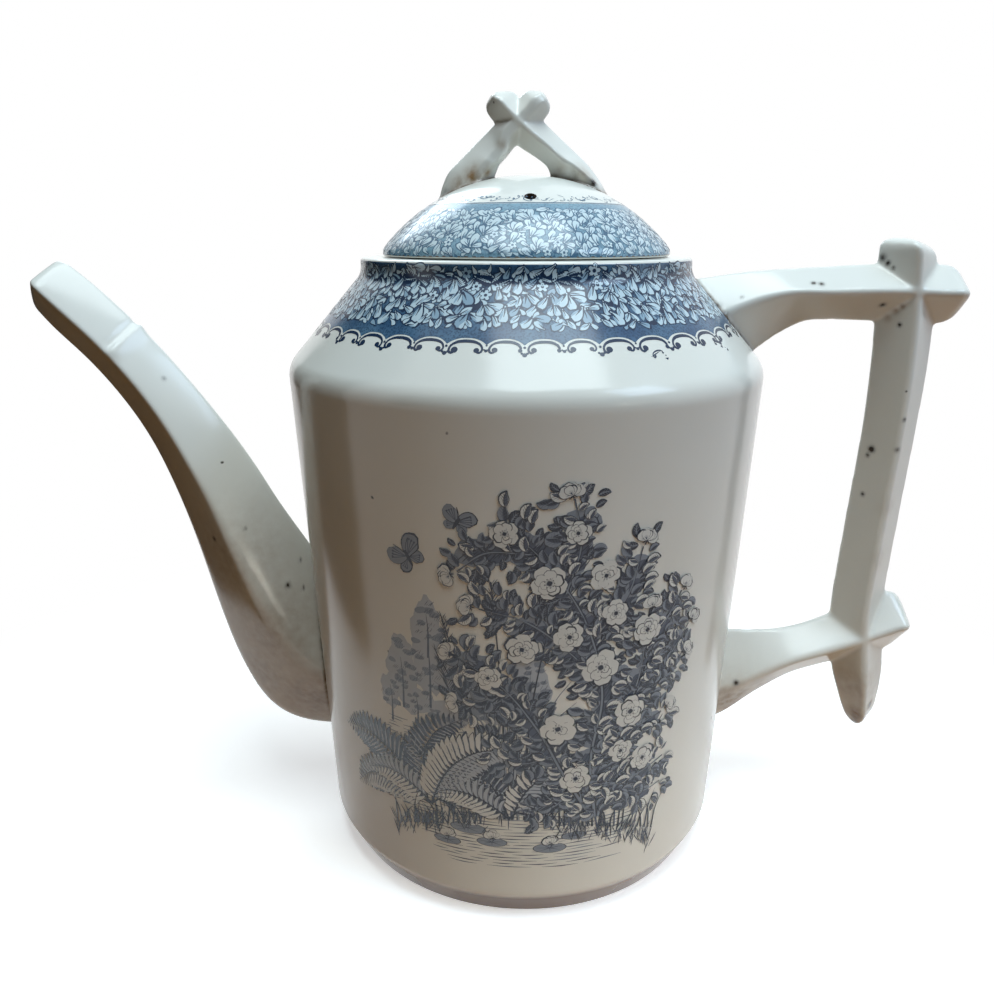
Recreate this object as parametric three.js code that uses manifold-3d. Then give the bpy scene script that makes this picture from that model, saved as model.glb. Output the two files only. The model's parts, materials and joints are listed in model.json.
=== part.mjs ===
// An ironstone teapot: a straight-sided pot with a sloping shoulder, a long low-set spout, a handle and a
// knob of crossed sticks, and a domed lid that lifts out of the mouth.
// Millimetres, +Z up, the spout towards -X. The origin is under the middle of the whole, where it stands.
import * as THREE from "three";
import { mergeVertices } from "three/addons/utils/BufferGeometryUtils.js";
import Module from "manifold-3d";

// The pot: outer sizes
const footRadius = 54.4;
const footTopRadius = 57.2;
const footHeight = 5.4;
const heelRadius = 58.8; // the wall just above the foot
const heelHeight = 8.8;
const shoulderRadius = 64.9; // the corner between wall and shoulder, before it is rounded
const shoulderHeight = 140.8;
const shoulderRise = 23.4;
const collarRadius = 44.4;
const collarHeight = 4.2;

// The pot: walls, roundings and mouth
const wallThickness = 4;
const floorThickness = 4.6;
const footRingWidth = 4;
const footRecess = 2.8;
const heelRounding = 1.6;
const shoulderRounding = 6;
const collarRounding = 5;
const floorRounding = 7;
const rimRounding = 1.2;
const rimWidth = 12; // the flat rim that the lid rests on
const rimThickness = 4.4;
const rimUnderside = 3; // how far the rim's underside falls before it meets the shoulder

// Pieces that are stuck together with slip keep this gap for it
const slipGap = 0.3;

// The strainer: holes through the wall behind the spout, in a diamond of rows
const strainerRadius = 2;
const strainerPitch = 7;
const strainerRows = 2; // above and below the middle row
const strainerRise = 28; // the middle row above the spout's root

// The spout
const spoutReach = 80.6; // from the wall at its root to the tip
const spoutRootHeight = 22.6;
const spoutTipDrop = 2.2; // the top of the tip below the rim
const spoutWall = 3.2;
const spoutHalfDepth = 7.3; // at the tip
const spoutRootHalfDepth = 14.6;
const spoutSoftness = 1.35; // 1 is a sharp diamond section and 2 an ellipse
const spoutBandHeight = 1.2;
const spoutBandWidth = 2.6; // half of it, along the spout
const spoutBandSetback = 27; // from the tip, along the spout

// The sticks of the handle
const stickHalfWidth = 7.4;
const stickHalfDepth = 8.2;
const stickFlat = 0.9; // half the flat on each of a stick's four edges
const gripStandoff = 39; // from the shoulder's corner to the middle of the grip
const gripLean = 2.9; // the grip's lower crossing nearer the pot than its upper one
const upperArmDrop = 10; // the upper arm's middle below the rim
const lowerArmHeight = 57.6; // where the lower arm crosses the grip
const armOverhang = 15.4; // the arms past the middle of the grip
const gripTopOverhang = 14; // the grip past the middle of the upper arm
const gripBottomOverhang = 31.2;

// The lid and its knob
const lidOverhang = 6.2; // past the edge of the mouth
const lidLip = 1.1;
const lidRise = 20.7; // from the rim to the top of the dome
const lidThickness = 3.6;
const flangeClearance = 1;
const flangeThickness = 3.1;
const flangeDepth = 12;
const lidSeatGap = 0.3;
const ventRadius = 1.5;
const ventSetback = 16.5; // from the lid's edge, towards the front
const knobHeight = 20.9; // above the top of the dome
const knobHalfWidth = 4.5;
const knobHalfDepth = 5;
const knobHalfSpread = 18.8; // from the crossing to the middle of a foot
const knobCrossing = 13.1; // above the top of the dome
const knobOffset = -2.2; // the crossing, beside the lid's axis
const knobFootOffset = -1.2; // the middle between the feet

// How finely round shapes are cut
const turnSides = 56;
const arcSteps = 4;
const domeSteps = 12;
const sectionSides = 16;
const spoutSteps = 26;
const stickSteps = 22;
const holeSides = 12;

const collarFoot = shoulderHeight + shoulderRise;
const rimHeight = collarFoot + collarHeight;
const mouthRadius = collarRadius - rimWidth;
const lidRadius = mouthRadius + lidOverhang;
const flangeRadius = mouthRadius - flangeClearance;

const wasm = await Module();
wasm.setup();

// Closed three.js geometry as a solid for joining and cutting.
function solidOf(geometry) {
  const bare = geometry.clone();
  bare.deleteAttribute("normal");
  bare.deleteAttribute("uv");
  const merged = mergeVertices(bare, 1e-4);
  const vertProperties = merged.attributes.position.array;
  const triVerts = new Uint32Array(merged.index.array);
  return new wasm.Manifold(new wasm.Mesh({ numProp: 3, vertProperties, triVerts }));
}

// A solid turned into a mesh with a name and a glaze.
function named(name, solid, material) {
  const cut = solid.getMesh();
  const geometry = new THREE.BufferGeometry();
  geometry.setAttribute("position", new THREE.BufferAttribute(cut.vertProperties, 3));
  geometry.setIndex(new THREE.BufferAttribute(cut.triVerts, 1));
  const mesh = new THREE.Mesh(geometry.toNonIndexed(), material);
  mesh.geometry.computeVertexNormals();
  mesh.name = name;
  return mesh;
}

// Glazed ware, a little warmer or cooler from piece to piece.
function glazed(color, roughness) {
  return new THREE.MeshStandardMaterial({ color, roughness, metalness: 0 });
}

// A solid turned round +Z from a closed profile of (radius, height) points.
function turned(profile) {
  return solidOf(new THREE.LatheGeometry(profile, turnSides).rotateX(Math.PI / 2));
}

// A round bar from one point to another.
function rod(from, to, radius) {
  const run = new THREE.Vector3().subVectors(to, from);
  const bar = new THREE.CylinderGeometry(radius, radius, run.length(), holeSides);
  const up = new THREE.Vector3(0, 1, 0);
  bar.applyQuaternion(new THREE.Quaternion().setFromUnitVectors(up, run.clone().normalize()));
  return solidOf(bar.translate(...from.clone().addScaledVector(run, 0.5)));
}

// Everything on one side of the pot's upright middle plane: the front half (-1) or the back half (1).
function halfSpace(side, gap) {
  const far = 1000;
  const depth = new THREE.BoxGeometry(far, far, far);
  return solidOf(depth.translate(0, side * (far / 2 + gap / 2), 0));
}

// Points of a profile whose corners are [radius, height, rounding].
function rounded(corners) {
  return corners.flatMap(([r, z, rounding], i) => {
    const corner = new THREE.Vector2(r, z);
    if (!rounding) return [corner];
    const before = new THREE.Vector2(...corners[i - 1]).sub(corner);
    const after = new THREE.Vector2(...corners[i + 1]).sub(corner);
    const half = before.angleTo(after) / 2;
    const room = 0.49 * Math.min(before.length(), after.length());
    const run = Math.min(rounding / Math.tan(half), room);
    const start = before.setLength(run).add(corner);
    const end = after.setLength(run).add(corner);
    return new THREE.QuadraticBezierCurve(start, corner, end).getPoints(arcSteps);
  });
}

// The corners of a profile moved to the left of the way it runs, or to the right for a distance below 0.
function moved(corners, distance) {
  const lines = corners.slice(1).map(([r, z], i) => {
    const run = new THREE.Vector2(r - corners[i][0], z - corners[i][1]).normalize();
    const side = new THREE.Vector2(-run.y, run.x).multiplyScalar(distance);
    return { run, side, start: new THREE.Vector2(...corners[i]).add(side) };
  });
  return corners.map(([r, z, rounding = 0], i) => {
    const into = lines[Math.max(i - 1, 0)];
    const out = lines[Math.min(i, lines.length - 1)];
    if (into === out) return [r + into.side.x, z + into.side.y];
    const turn = into.run.cross(out.run);
    const along = out.start.clone().sub(into.start).cross(out.run) / turn;
    const meet = into.start.clone().addScaledVector(into.run, along);
    return [meet.x, meet.y, rounding && Math.max(rounding - Math.sign(turn) * distance, 0.5)];
  });
}

// The wall's outer radius at a height.
function wallRadiusAt(z) {
  return THREE.MathUtils.mapLinear(z, heelHeight, shoulderHeight, heelRadius, shoulderRadius);
}

// The pot's outside, from the foot to the rim.
const outside = [
  [footRadius, 0],
  [footTopRadius, footHeight],
  [heelRadius, heelHeight, heelRounding],
  [shoulderRadius, shoulderHeight, shoulderRounding],
  [collarRadius, collarFoot, collarRounding],
  [collarRadius, rimHeight],
];

// The pot's inside, from the mouth down to the middle of the floor.
function inside() {
  const [shoulder, collar] = moved(outside, wallThickness).slice(3);
  const floor = footRecess + floorThickness;
  const underRim = rimHeight - rimThickness;
  return [
    [mouthRadius, rimHeight, rimRounding],
    [mouthRadius, underRim],
    [collar[0], Math.min(underRim - rimUnderside, collar[1])],
    shoulder,
    [wallRadiusAt(floor) - wallThickness, floor, floorRounding],
    [0, floor],
  ];
}

// The pot, from its foot ring to its rim, pierced behind the spout.
function potBody() {
  const ring = footRadius - footRingWidth;
  const profile = rounded([
    [0, footRecess],
    [ring - footRecess, footRecess],
    [ring, 0],
    ...outside.slice(0, -1),
    [collarRadius, rimHeight, rimRounding],
    ...inside(),
  ]);
  return strainerHoles().reduce((pot, hole) => pot.subtract(hole), turned(profile));
}

function strainerHoles() {
  const holes = [];
  for (let row = -strainerRows; row <= strainerRows; row++) {
    const count = strainerRows + 1 - Math.abs(row);
    const z = spoutRootHeight + strainerRise + row * strainerPitch;
    for (let i = 0; i < count; i++) {
      const y = (i - (count - 1) / 2) * strainerPitch;
      const outer = new THREE.Vector3(-wallRadiusAt(z) - wallThickness, y, z);
      const inner = new THREE.Vector3(-wallRadiusAt(z) + 2 * wallThickness, y, z);
      holes.push(rod(outer, inner, strainerRadius));
    }
  }
  return holes;
}

// The pot's outside as a filled solid that stands out from it by a gap, to cut what is stuck on.
function potEnvelope() {
  return turned(rounded([[0, -slipGap], ...moved(outside, -slipGap), [0, rimHeight]]));
}

// A solid skinned over rings of points that all have the same count, closed by a fan at both ends.
function lofted(rings) {
  const sides = rings[0].length;
  const last = (rings.length - 1) * sides;
  const points = [...rings.flat(), middleOf(rings[0]), middleOf(rings.at(-1))];
  const index = [];
  for (let i = 0; i < sides; i++) {
    const next = (i + 1) % sides;
    for (let ring = 0; ring < last; ring += sides) {
      const [a, b] = [ring + i, ring + next];
      index.push(a, b, b + sides, a, b + sides, a + sides);
    }
    index.push(last + sides, next, i, last + sides + 1, last + i, last + next);
  }
  return solidOf(new THREE.BufferGeometry().setFromPoints(points).setIndex(index));
}

function middleOf(ring) {
  const sum = ring.reduce((total, point) => total.add(point), new THREE.Vector3());
  return sum.divideScalar(ring.length);
}

// The spout's side view from the root to the tip, as shares of its reach and of its rise: its lower edge,
// its upper edge, and how much of the root's extra depth is left.
const spoutStations = [
  { under: [-0.12, 0], over: [-0.12, 0.28], depth: 1 },
  { under: [0.13, 0.006], over: [-0.07, 0.31], depth: 1 },
  { under: [0.265, 0.05], over: [-0.02, 0.355], depth: 1 },
  { under: [0.362, 0.153], over: [0.04, 0.405], depth: 0.96 },
  { under: [0.425, 0.275], over: [0.09, 0.45], depth: 0.86 },
  { under: [0.472, 0.39], over: [0.168, 0.52], depth: 0.66 },
  { under: [0.512, 0.48], over: [0.25, 0.605], depth: 0.4 },
  { under: [0.56, 0.568], over: [0.344, 0.688], depth: 0.2 },
  { under: [0.618, 0.653], over: [0.446, 0.767], depth: 0.06 },
  { under: [0.7, 0.735], over: [0.548, 0.84], depth: 0 },
  { under: [0.81, 0.816], over: [0.662, 0.909], depth: 0 },
  { under: [0.922, 0.884], over: [0.77, 0.965], depth: 0 },
  { under: [1, 0.937], over: [0.85, 1], depth: 0 },
];

// The spout's skin, moved in by a margin: soft diamond sections spanned between its two edges.
function spoutSkin(margin) {
  const rise = rimHeight - spoutTipDrop - spoutRootHeight;
  const wall = wallRadiusAt(spoutRootHeight);
  const place = ([x, z]) => new THREE.Vector3(-wall - x * spoutReach, 0, spoutRootHeight + z * rise);
  const under = new THREE.CatmullRomCurve3(spoutStations.map((station) => place(station.under)));
  const over = new THREE.CatmullRomCurve3(spoutStations.map((station) => place(station.over)));
  const depths = new THREE.SplineCurve(spoutStations.map(({ depth }) => new THREE.Vector2(depth, 0)));
  const middles = new THREE.CatmullRomCurve3(
    spoutStations.map((station) => place(station.under).lerp(place(station.over), 0.5)),
  );
  const bandShare = 1 - spoutBandSetback / middles.getLength();
  const bandSpread = spoutBandWidth / middles.getLength();
  const shares = Array.from({ length: spoutSteps + 1 }, (_, step) => step / spoutSteps)
    .filter((share) => Math.abs(share - bandShare) > bandSpread);
  shares.push(...[-1, -0.6, 0, 0.6, 1].map((part) => bandShare + part * bandSpread));
  const rings = shares.sort((a, b) => a - b).map((share) => {
    const band = spoutBandHeight * Math.max(0, 1 - ((share - bandShare) / bandSpread) ** 2);
    const depth = THREE.MathUtils.lerp(spoutHalfDepth, spoutRootHalfDepth, depths.getPoint(share).x);
    return softDiamond(under.getPoint(share), over.getPoint(share), depth, margin ? -margin : band);
  });
  if (margin) {
    const onward = middleOf(rings.at(-1)).sub(middleOf(rings.at(-2))).setLength(2 * spoutHalfDepth);
    rings.push(rings.at(-1).map((point) => point.clone().add(onward)));
  }
  return lofted(rings);
}

// A ring of points between two edge points in the middle plane, grown by a margin.
function softDiamond(under, over, halfDepth, margin) {
  const half = over.clone().sub(under).divideScalar(2);
  const middle = under.clone().add(half);
  half.setLength(half.length() + margin);
  return Array.from({ length: sectionSides }, (_, i) => {
    const angle = (2 * Math.PI * i) / sectionSides;
    const point = middle.clone().addScaledVector(half, softened(Math.cos(angle)));
    point.y = (halfDepth + margin) * softened(Math.sin(angle));
    return point;
  });
}

function softened(value) {
  return Math.sign(value) * Math.abs(value) ** (2 / spoutSoftness);
}

function spout() {
  return spoutSkin(0).subtract(spoutSkin(spoutWall)).subtract(potEnvelope());
}

// A stick of diamond section that follows stations [x, z, half width] in the middle plane.
function stick(stations, fullWidth, halfDepth, margin) {
  const route = new THREE.CatmullRomCurve3(stations.map((station) => new THREE.Vector3(...station)));
  const places = route.getPoints(stickSteps);
  const rings = places.map(({ x, y: z, z: halfWidth }, i) => {
    const from = places[Math.max(i - 1, 0)];
    const to = places[Math.min(i + 1, places.length - 1)];
    const along = new THREE.Vector2(to.x - from.x, to.y - from.y).normalize();
    const wide = halfWidth + margin;
    const deep = halfDepth * Math.min(1, halfWidth / fullWidth) ** 0.6 + margin;
    const flat = Math.min(stickFlat, wide / 3);
    const outline = [
      [wide, flat], [wide, -flat], [flat, -deep], [-flat, -deep],
      [-wide, -flat], [-wide, flat], [-flat, deep], [flat, deep],
    ];
    return outline.map(([u, v]) => new THREE.Vector3(x - along.y * u, v, z + along.x * u));
  });
  return lofted(rings);
}

// Two crossed sticks as a lap joint: the first is whole in front of the crossing and the second behind it.
function lapped(first, second) {
  const behind = second.grown.intersect(halfSpace(1, -slipGap));
  const before = first.grown.intersect(halfSpace(-1, -slipGap));
  return [first.solid.subtract(behind), second.solid.subtract(before)];
}

// A stick with a copy that is larger by the gap, for cutting what crosses it.
function stickPair(stations, fullWidth, halfDepth) {
  const make = (margin) => stick(stations, fullWidth, halfDepth, margin);
  return { solid: make(0), grown: make(slipGap) };
}

// The handle's three sticks. Each runs on a little past where it crosses the next.
function handleSticks() {
  const w = stickHalfWidth;
  const high = rimHeight - upperArmDrop;
  const low = lowerArmHeight;
  const highX = shoulderRadius + gripStandoff;
  const lowX = highX - gripLean;
  const upperArm = stickPair([
    [highX - 53, high - 13, w + 8.4],
    [highX - 46, high - 8, w + 5.4],
    [highX - 41, high - 4.4, w + 2.7],
    [highX - 36, high - 2.2, w + 1.1],
    [highX - 27, high - 0.3, w],
    [highX, high, w],
    [highX + armOverhang - 7, high - 0.3, w + 0.3],
    [highX + armOverhang - 3, high - 1, w - 1.8],
    [highX + armOverhang - 1, high - 1.3, w - 4.2],
    [highX + armOverhang - 0.2, high - 1.4, w - 6.4],
  ], w, stickHalfDepth);
  const lowerArm = stickPair([
    [lowX - 52, low - 21, w + 10],
    [lowX - 44, low - 17, w + 8.4],
    [lowX - 36, low - 12.8, w + 5.4],
    [lowX - 28.6, low - 9.6, w + 2.6],
    [lowX - 21, low - 7, w + 0.9],
    [lowX - 12.5, low - 4.1, w + 0.4],
    [lowX, low, w + 0.6],
    [lowX + armOverhang - 6, low + 1.8, w + 0.4],
    [lowX + armOverhang - 3, low + 2.6, w - 1.8],
    [lowX + armOverhang - 1.2, low + 3.2, w - 4.6],
    [lowX + armOverhang - 0.7, low + 3.4, w - 6.4],
  ], w, stickHalfDepth);
  const bottom = low - gripBottomOverhang;
  const top = high + gripTopOverhang;
  const grip = stickPair([
    [lowX + 3.6, bottom + 0.6, w - 5.4],
    [lowX + 4.2, bottom + 1.8, w - 3.8],
    [lowX + 4.9, bottom + 5.2, w - 2],
    [lowX + 4.5, bottom + 10, w - 0.8],
    [lowX + 3.2, bottom + 18, w + 0.3],
    [lowX + 1, low, w + 0.5],
    [lowX + 0.6, low + 18, w + 0.3],
    [highX - 0.6, high - 30, w + 0.2],
    [highX, high, w + 0.5],
    [highX - 0.9, top - 6, w + 0.9],
    [highX - 1.2, top - 2.6, w + 0.8],
    [highX - 0.8, top - 1, w - 1],
    [highX - 0.5, top - 0.2, w - 3],
  ], w, stickHalfDepth);
  const [upper, gripBelow] = lapped(upperArm, grip);
  const [lower, gripWhole] = lapped(lowerArm, { solid: gripBelow, grown: grip.grown });
  const pot = potEnvelope();
  return { upper: upper.subtract(pot), grip: gripWhole, lower: lower.subtract(pot) };
}

// The dome of the lid above the rim, from its edge to its top, moved in by a margin.
function dome(margin) {
  const lip = lidLip + lidSeatGap;
  const shares = [
    [1, 0], [0.985, 0.06], [0.91, 0.225], [0.794, 0.43],
    [0.65, 0.635], [0.47, 0.82], [0.24, 0.955], [0, 1],
  ];
  const places = shares.map(([r, z]) => {
    return new THREE.Vector2(r * (lidRadius - margin), lip - margin + z * (lidRise - lip));
  });
  const points = new THREE.SplineCurve(places).getPoints(domeSteps);
  points.at(-1).x = 0;
  return points;
}

// The lid, with its flange down into the mouth and its vent. Its own origin is on the axis at the rim.
function lidShell() {
  const bore = flangeRadius - flangeThickness;
  const ceiling = dome(lidThickness).filter((point) => point.x < bore).reverse();
  const flange = [
    [bore, ceiling.at(-1).y - 1],
    [bore, -flangeDepth],
    [flangeRadius - 0.8, -flangeDepth],
    [flangeRadius, -flangeDepth + 1.4],
    [flangeRadius, lidSeatGap],
    [lidRadius, lidSeatGap],
  ];
  const profile = [...ceiling, ...flange.map((corner) => new THREE.Vector2(...corner)), ...dome(0)];
  const vent = ventSetback - lidRadius;
  const above = new THREE.Vector3(0, vent - 8, lidRise + 4);
  const below = new THREE.Vector3(0, vent + 8, 0);
  return turned(profile).subtract(rod(above, below, ventRadius));
}

// The dome as a filled solid that stands out by a gap, to cut the knob's feet.
function domeEnvelope() {
  const points = dome(-slipGap);
  return turned([new THREE.Vector2(0, 0), new THREE.Vector2(points[0].x, 0), ...points]);
}

// The knob's two crossed sticks. One leans from a right foot to a left top, and the other the other way.
function knobSticks() {
  const w = knobHalfWidth;
  const z = lidRise + knobCrossing;
  const top = knobHeight - knobCrossing;
  const leaning = (side) => stickPair([
    [knobFootOffset + side * (knobHalfSpread + 2.2), z - 21, w - 2],
    [knobFootOffset + side * knobHalfSpread, z - 18.8, w - 0.4],
    [knobOffset + side * 0.62 * knobHalfSpread, z - 12.2, w + 0.2],
    [knobOffset + side * 0.3 * knobHalfSpread, z - 6.2, w],
    [knobOffset, z, w - 0.4],
    [knobOffset - side * 3.6, z + top - 4.6, w - 0.4],
    [knobOffset - side * 5.2, z + top - 2.6, w - 1.1],
    [knobOffset - side * 5.9, z + top - 1.6, w - 2.4],
  ], w, knobHalfDepth);
  const [front, back] = lapped(leaning(1), leaning(-1));
  const cut = domeEnvelope();
  return { right: front.subtract(cut), left: back.subtract(cut) };
}

function handle() {
  const sticks = handleSticks();
  const group = new THREE.Group();
  group.add(named("handle_upper_arm", sticks.upper, glazed(0xd9dbd6, 0.2)));
  group.add(named("handle_grip", sticks.grip, glazed(0xcfccc4, 0.22)));
  group.add(named("handle_lower_arm", sticks.lower, glazed(0xd3d1c9, 0.2)));
  return group;
}

function lid() {
  const sticks = knobSticks();
  const group = new THREE.Group();
  group.add(named("lid", lidShell(), glazed(0xa3b3c6, 0.18)));
  group.add(named("knob_left_stick", sticks.left, glazed(0xd2d2cc, 0.22)));
  group.add(named("knob_right_stick", sticks.right, glazed(0xd6d8d3, 0.22)));
  group.position.z = rimHeight;
  return group;
}

const pot = new THREE.Group();
pot.add(named("pot_body", potBody(), glazed(0xd6d4cc, 0.18)));
pot.add(named("spout", spout(), glazed(0xd3d4cd, 0.18)));
pot.add(handle());
pot.add(lid());

// The spout reaches further than the handle, so the pot's axis stands beside the middle of the whole.
const extent = new THREE.Box3().setFromObject(pot);
pot.position.x = -(extent.min.x + extent.max.x) / 2;

const teapot = new THREE.Group();
teapot.add(pot);

export default teapot;
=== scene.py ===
"""A blue-printed ironstone teapot in its studio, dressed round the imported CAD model, in metres."""
import json
import logging
import math
from dataclasses import dataclass, field
from enum import Enum, IntEnum
from functools import partial
from typing import Callable, NamedTuple, Sequence

import bpy
import numpy as np
from bpy.types import ID, Material, Mesh, NodeSocket, NodeTree, Object
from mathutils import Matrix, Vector

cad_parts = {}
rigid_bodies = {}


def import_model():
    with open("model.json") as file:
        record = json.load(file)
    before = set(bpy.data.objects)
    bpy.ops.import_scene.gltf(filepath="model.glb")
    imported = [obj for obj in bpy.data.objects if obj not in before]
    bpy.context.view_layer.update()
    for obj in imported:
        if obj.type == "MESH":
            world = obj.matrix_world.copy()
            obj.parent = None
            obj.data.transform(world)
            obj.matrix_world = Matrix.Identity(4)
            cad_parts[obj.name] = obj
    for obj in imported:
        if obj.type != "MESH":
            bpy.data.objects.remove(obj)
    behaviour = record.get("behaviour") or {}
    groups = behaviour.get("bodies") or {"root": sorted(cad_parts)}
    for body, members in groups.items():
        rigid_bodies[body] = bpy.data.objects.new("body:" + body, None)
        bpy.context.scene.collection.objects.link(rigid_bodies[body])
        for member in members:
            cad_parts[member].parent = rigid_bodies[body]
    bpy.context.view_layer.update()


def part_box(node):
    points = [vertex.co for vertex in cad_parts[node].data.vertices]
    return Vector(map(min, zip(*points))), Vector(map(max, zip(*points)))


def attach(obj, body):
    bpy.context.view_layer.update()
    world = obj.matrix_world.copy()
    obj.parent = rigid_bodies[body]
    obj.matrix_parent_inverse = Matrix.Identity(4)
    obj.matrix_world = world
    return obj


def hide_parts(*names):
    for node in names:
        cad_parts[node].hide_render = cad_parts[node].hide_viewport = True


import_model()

MM = 0.001
POT_AXIS_X = (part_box("lid")[0][0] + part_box("lid")[1][0]) / 2
SEAM_WIDTH = 0.5
LOG = logging.getLogger("teapot")
Array = np.ndarray
Rows = Sequence[Sequence[float]]
Faces = list[tuple[int, ...]]


def linear(colour: str) -> tuple[float, ...]:
    """Turns an sRGB hex colour into linear RGBA."""
    parts = [int(colour[i : i + 2], 16) / 255 for i in (1, 3, 5)]
    return (*(p / 12.92 if p <= 0.04045 else ((p + 0.055) / 1.055) ** 2.4 for p in parts), 1.0)


def run_of(line: Array) -> Array:
    """Gives how far along a line each of its points lies, by its first two columns."""
    return np.concatenate([[0], np.cumsum(np.linalg.norm(np.diff(line[:, :2], axis=0), axis=1))])


def columns(at: Array, run: Array, table: Array) -> Array:
    """Reads every column of a table at places along a run."""
    return np.column_stack([np.interp(at, run, column) for column in table.T])


def evenly(points: Array, count: int) -> Array:
    """Reads a line again at a number of equal steps."""
    run = run_of(points)
    return columns(np.linspace(0, run[-1], count), run, points)


def through(stations: Rows, count: int, end: float = 1.0) -> Array:
    """Reads a smooth curve that runs through stations, with its knots spaced by the root of their distance.

    Args:
        stations: The points that it runs through.
        count: How many points to read.
        end: Where to stop, as a share of the stations.

    Returns:
        The points.
    """
    p = np.asarray(stations, float)
    ends = np.vstack([2 * p[0] - p[1], p, 2 * p[-1] - p[-2]])
    place = np.linspace(0, end, count) * (len(p) - 1)
    i = np.minimum(place.astype(int), len(p) - 2)
    w = (place - i)[:, None]
    a, b, c, d = (ends[i + k] for k in range(4))
    k0, k1, k2 = (np.maximum(np.linalg.norm(q - r, axis=1), 1e-6)[:, None] ** 0.5
                  for q, r in ((a, b), (b, c), (c, d)))
    out = ((b - a) / k0 - (c - a) / (k0 + k1) + (c - b) / k1) * k1
    into = ((c - b) / k1 - (d - b) / (k1 + k2) + (d - c) / k2) * k1
    return b + out * w + (3 * (c - b) - 2 * out - into) * w**2 + (2 * (b - c) + out + into) * w**3


def eased(points: Array, spread: float, closed: bool = False) -> Array:
    """Softens a row of points with a bell-shaped mean, and keeps the ends of an open one.

    Args:
        points: One row for each point.
        spread: The bell's width in points.
        closed: Whether the last point comes before the first.

    Returns:
        The softened rows.
    """
    reach = max(1, int(3 * spread))
    bell = np.exp(-0.5 * (np.arange(-reach, reach + 1) / spread) ** 2)
    bell /= bell.sum()
    before, after = points[-reach:], points[:reach]
    if not closed:
        before = 2 * points[0] - points[1 : reach + 1][::-1]
        after = 2 * points[-1] - points[-reach - 1 : -1][::-1]
    around = np.vstack([before, points, after])
    return np.column_stack([np.convolve(column, bell, "valid") for column in around.T])


def linked(name: str, data: ID) -> Object:
    """Makes an object and links it to the scene.

    Args:
        name: Its name.
        data: Its mesh, lamp or camera.

    Returns:
        The object.
    """
    made = bpy.data.objects.new(name, data)
    bpy.context.scene.collection.objects.link(made)
    return made


def piece(name: str, points: Rows, faces: Faces, finish: "Finish | None") -> Object:
    """Makes a smooth-shaded object whose place is in its mesh.

    Args:
        name: The piece's name.
        points: Its corners in millimetres from the pot's axis.
        faces: Its faces.
        finish: What it is finished in.

    Returns:
        The object, linked to the scene.
    """
    mesh = bpy.data.meshes.new(name)
    mesh.from_pydata((np.asarray(points, float) * MM + [POT_AXIS_X, 0, 0]).tolist(), [], faces)
    mesh.polygons.foreach_set("use_smooth", [True] * len(mesh.polygons))
    mesh.validate()
    if finish:
        mesh.materials.append(finish.material())
    return linked(name, mesh)


def skin(rings: int, sides: int, first: bool = False, last: bool = False) -> Faces:
    """Lists the faces over rings of corners, each ring running the same way round.

    Args:
        rings: How many rings there are.
        sides: The corners of a ring.
        first: Whether the first ring is closed by a fan round a corner that comes after the rings.
        last: Whether the last ring is, by the next one.

    Returns:
        The faces, turned outwards for rings that run anticlockwise seen from the last one.
    """
    ring = [(i, (i + 1) % sides) for i in range(sides)]
    faces = [(r + a, r + b, r + b + sides, r + a + sides)
             for r in range(0, (rings - 1) * sides, sides) for a, b in ring]
    pole, end = rings * sides, (rings - 1) * sides
    if first:
        faces += [(pole, b, a) for a, b in ring]
    if last:
        faces += [(pole + first, end + a, end + b) for a, b in ring]
    return faces


def joined(parts: Sequence[tuple[Array, Faces]]) -> tuple[Array, Faces]:
    """Puts meshes together as one.

    Args:
        parts: The corners and the faces of each.

    Returns:
        The corners and the faces of all.
    """
    faces, count = [], 0
    for points, own in parts:
        faces += [tuple(count + i for i in face) for face in own]
        count += len(points)
    return np.vstack([points for points, _ in parts]), faces


def cooked(made: Object) -> None:
    """Turns an object's modifiers into its mesh and drops them.

    Args:
        made: The object.
    """
    old = made.data
    baked = bpy.data.meshes.new_from_object(made.evaluated_get(bpy.context.evaluated_depsgraph_get()))
    made.modifiers.clear()
    made.data = baked
    bpy.data.meshes.remove(old)
    baked.name = made.name


def bored(made: Object, ends: Rows, across: Sequence[float], radius: float, sides: int) -> None:
    """Bores round holes through an object.

    Args:
        made: The object.
        ends: The drill's first and last place for each hole, one after the other.
        across: A direction square to every hole.
        radius: The holes' radius.
        sides: Their sides.
    """
    parts = []
    for start, end in np.array(ends, float).reshape(-1, 2, 3):
        up = np.cross((end - start) / np.linalg.norm(end - start), across)
        rim = [radius * (np.array(across) * math.cos(a) + up * math.sin(a))
               for a in np.linspace(0, 2 * math.pi, sides, endpoint=False)]
        points = [middle + way for middle in (start, end) for way in rim] + [start, end]
        parts.append((points, skin(2, sides, True, True)))
    drill = piece("drill", *joined(parts), None)
    cut = made.modifiers.new("holes", "BOOLEAN")
    cut.object, cut.operation, cut.solver = drill, "DIFFERENCE", "EXACT"
    cooked(made)
    bpy.data.objects.remove(drill)


def fetched(rows: bpy.types.bpy_prop_collection, name: str, wide: int, kind: type = float) -> Array:
    """Reads a property of all of a mesh's corners or edges.

    Args:
        rows: The corners or edges, or the values stored for them.
        name: The property.
        wide: How many numbers it holds.
        kind: What they are.

    Returns:
        One row for each.
    """
    flat = np.empty(len(rows) * wide, kind)
    rows.foreach_get(name, flat)
    return flat.reshape(-1, wide)


def corners_of(mesh: Mesh) -> Array:
    """Reads a mesh's corners in millimetres from the pot's axis."""
    return (fetched(mesh.vertices, "co", 3) - [POT_AXIS_X, 0, 0]) / MM


def set_corners(mesh: Mesh, points: Array) -> None:
    """Writes a mesh's corners, given in millimetres from the pot's axis."""
    mesh.vertices.foreach_set("co", (points * MM + [POT_AXIS_X, 0, 0]).ravel())
    mesh.update()


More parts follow.
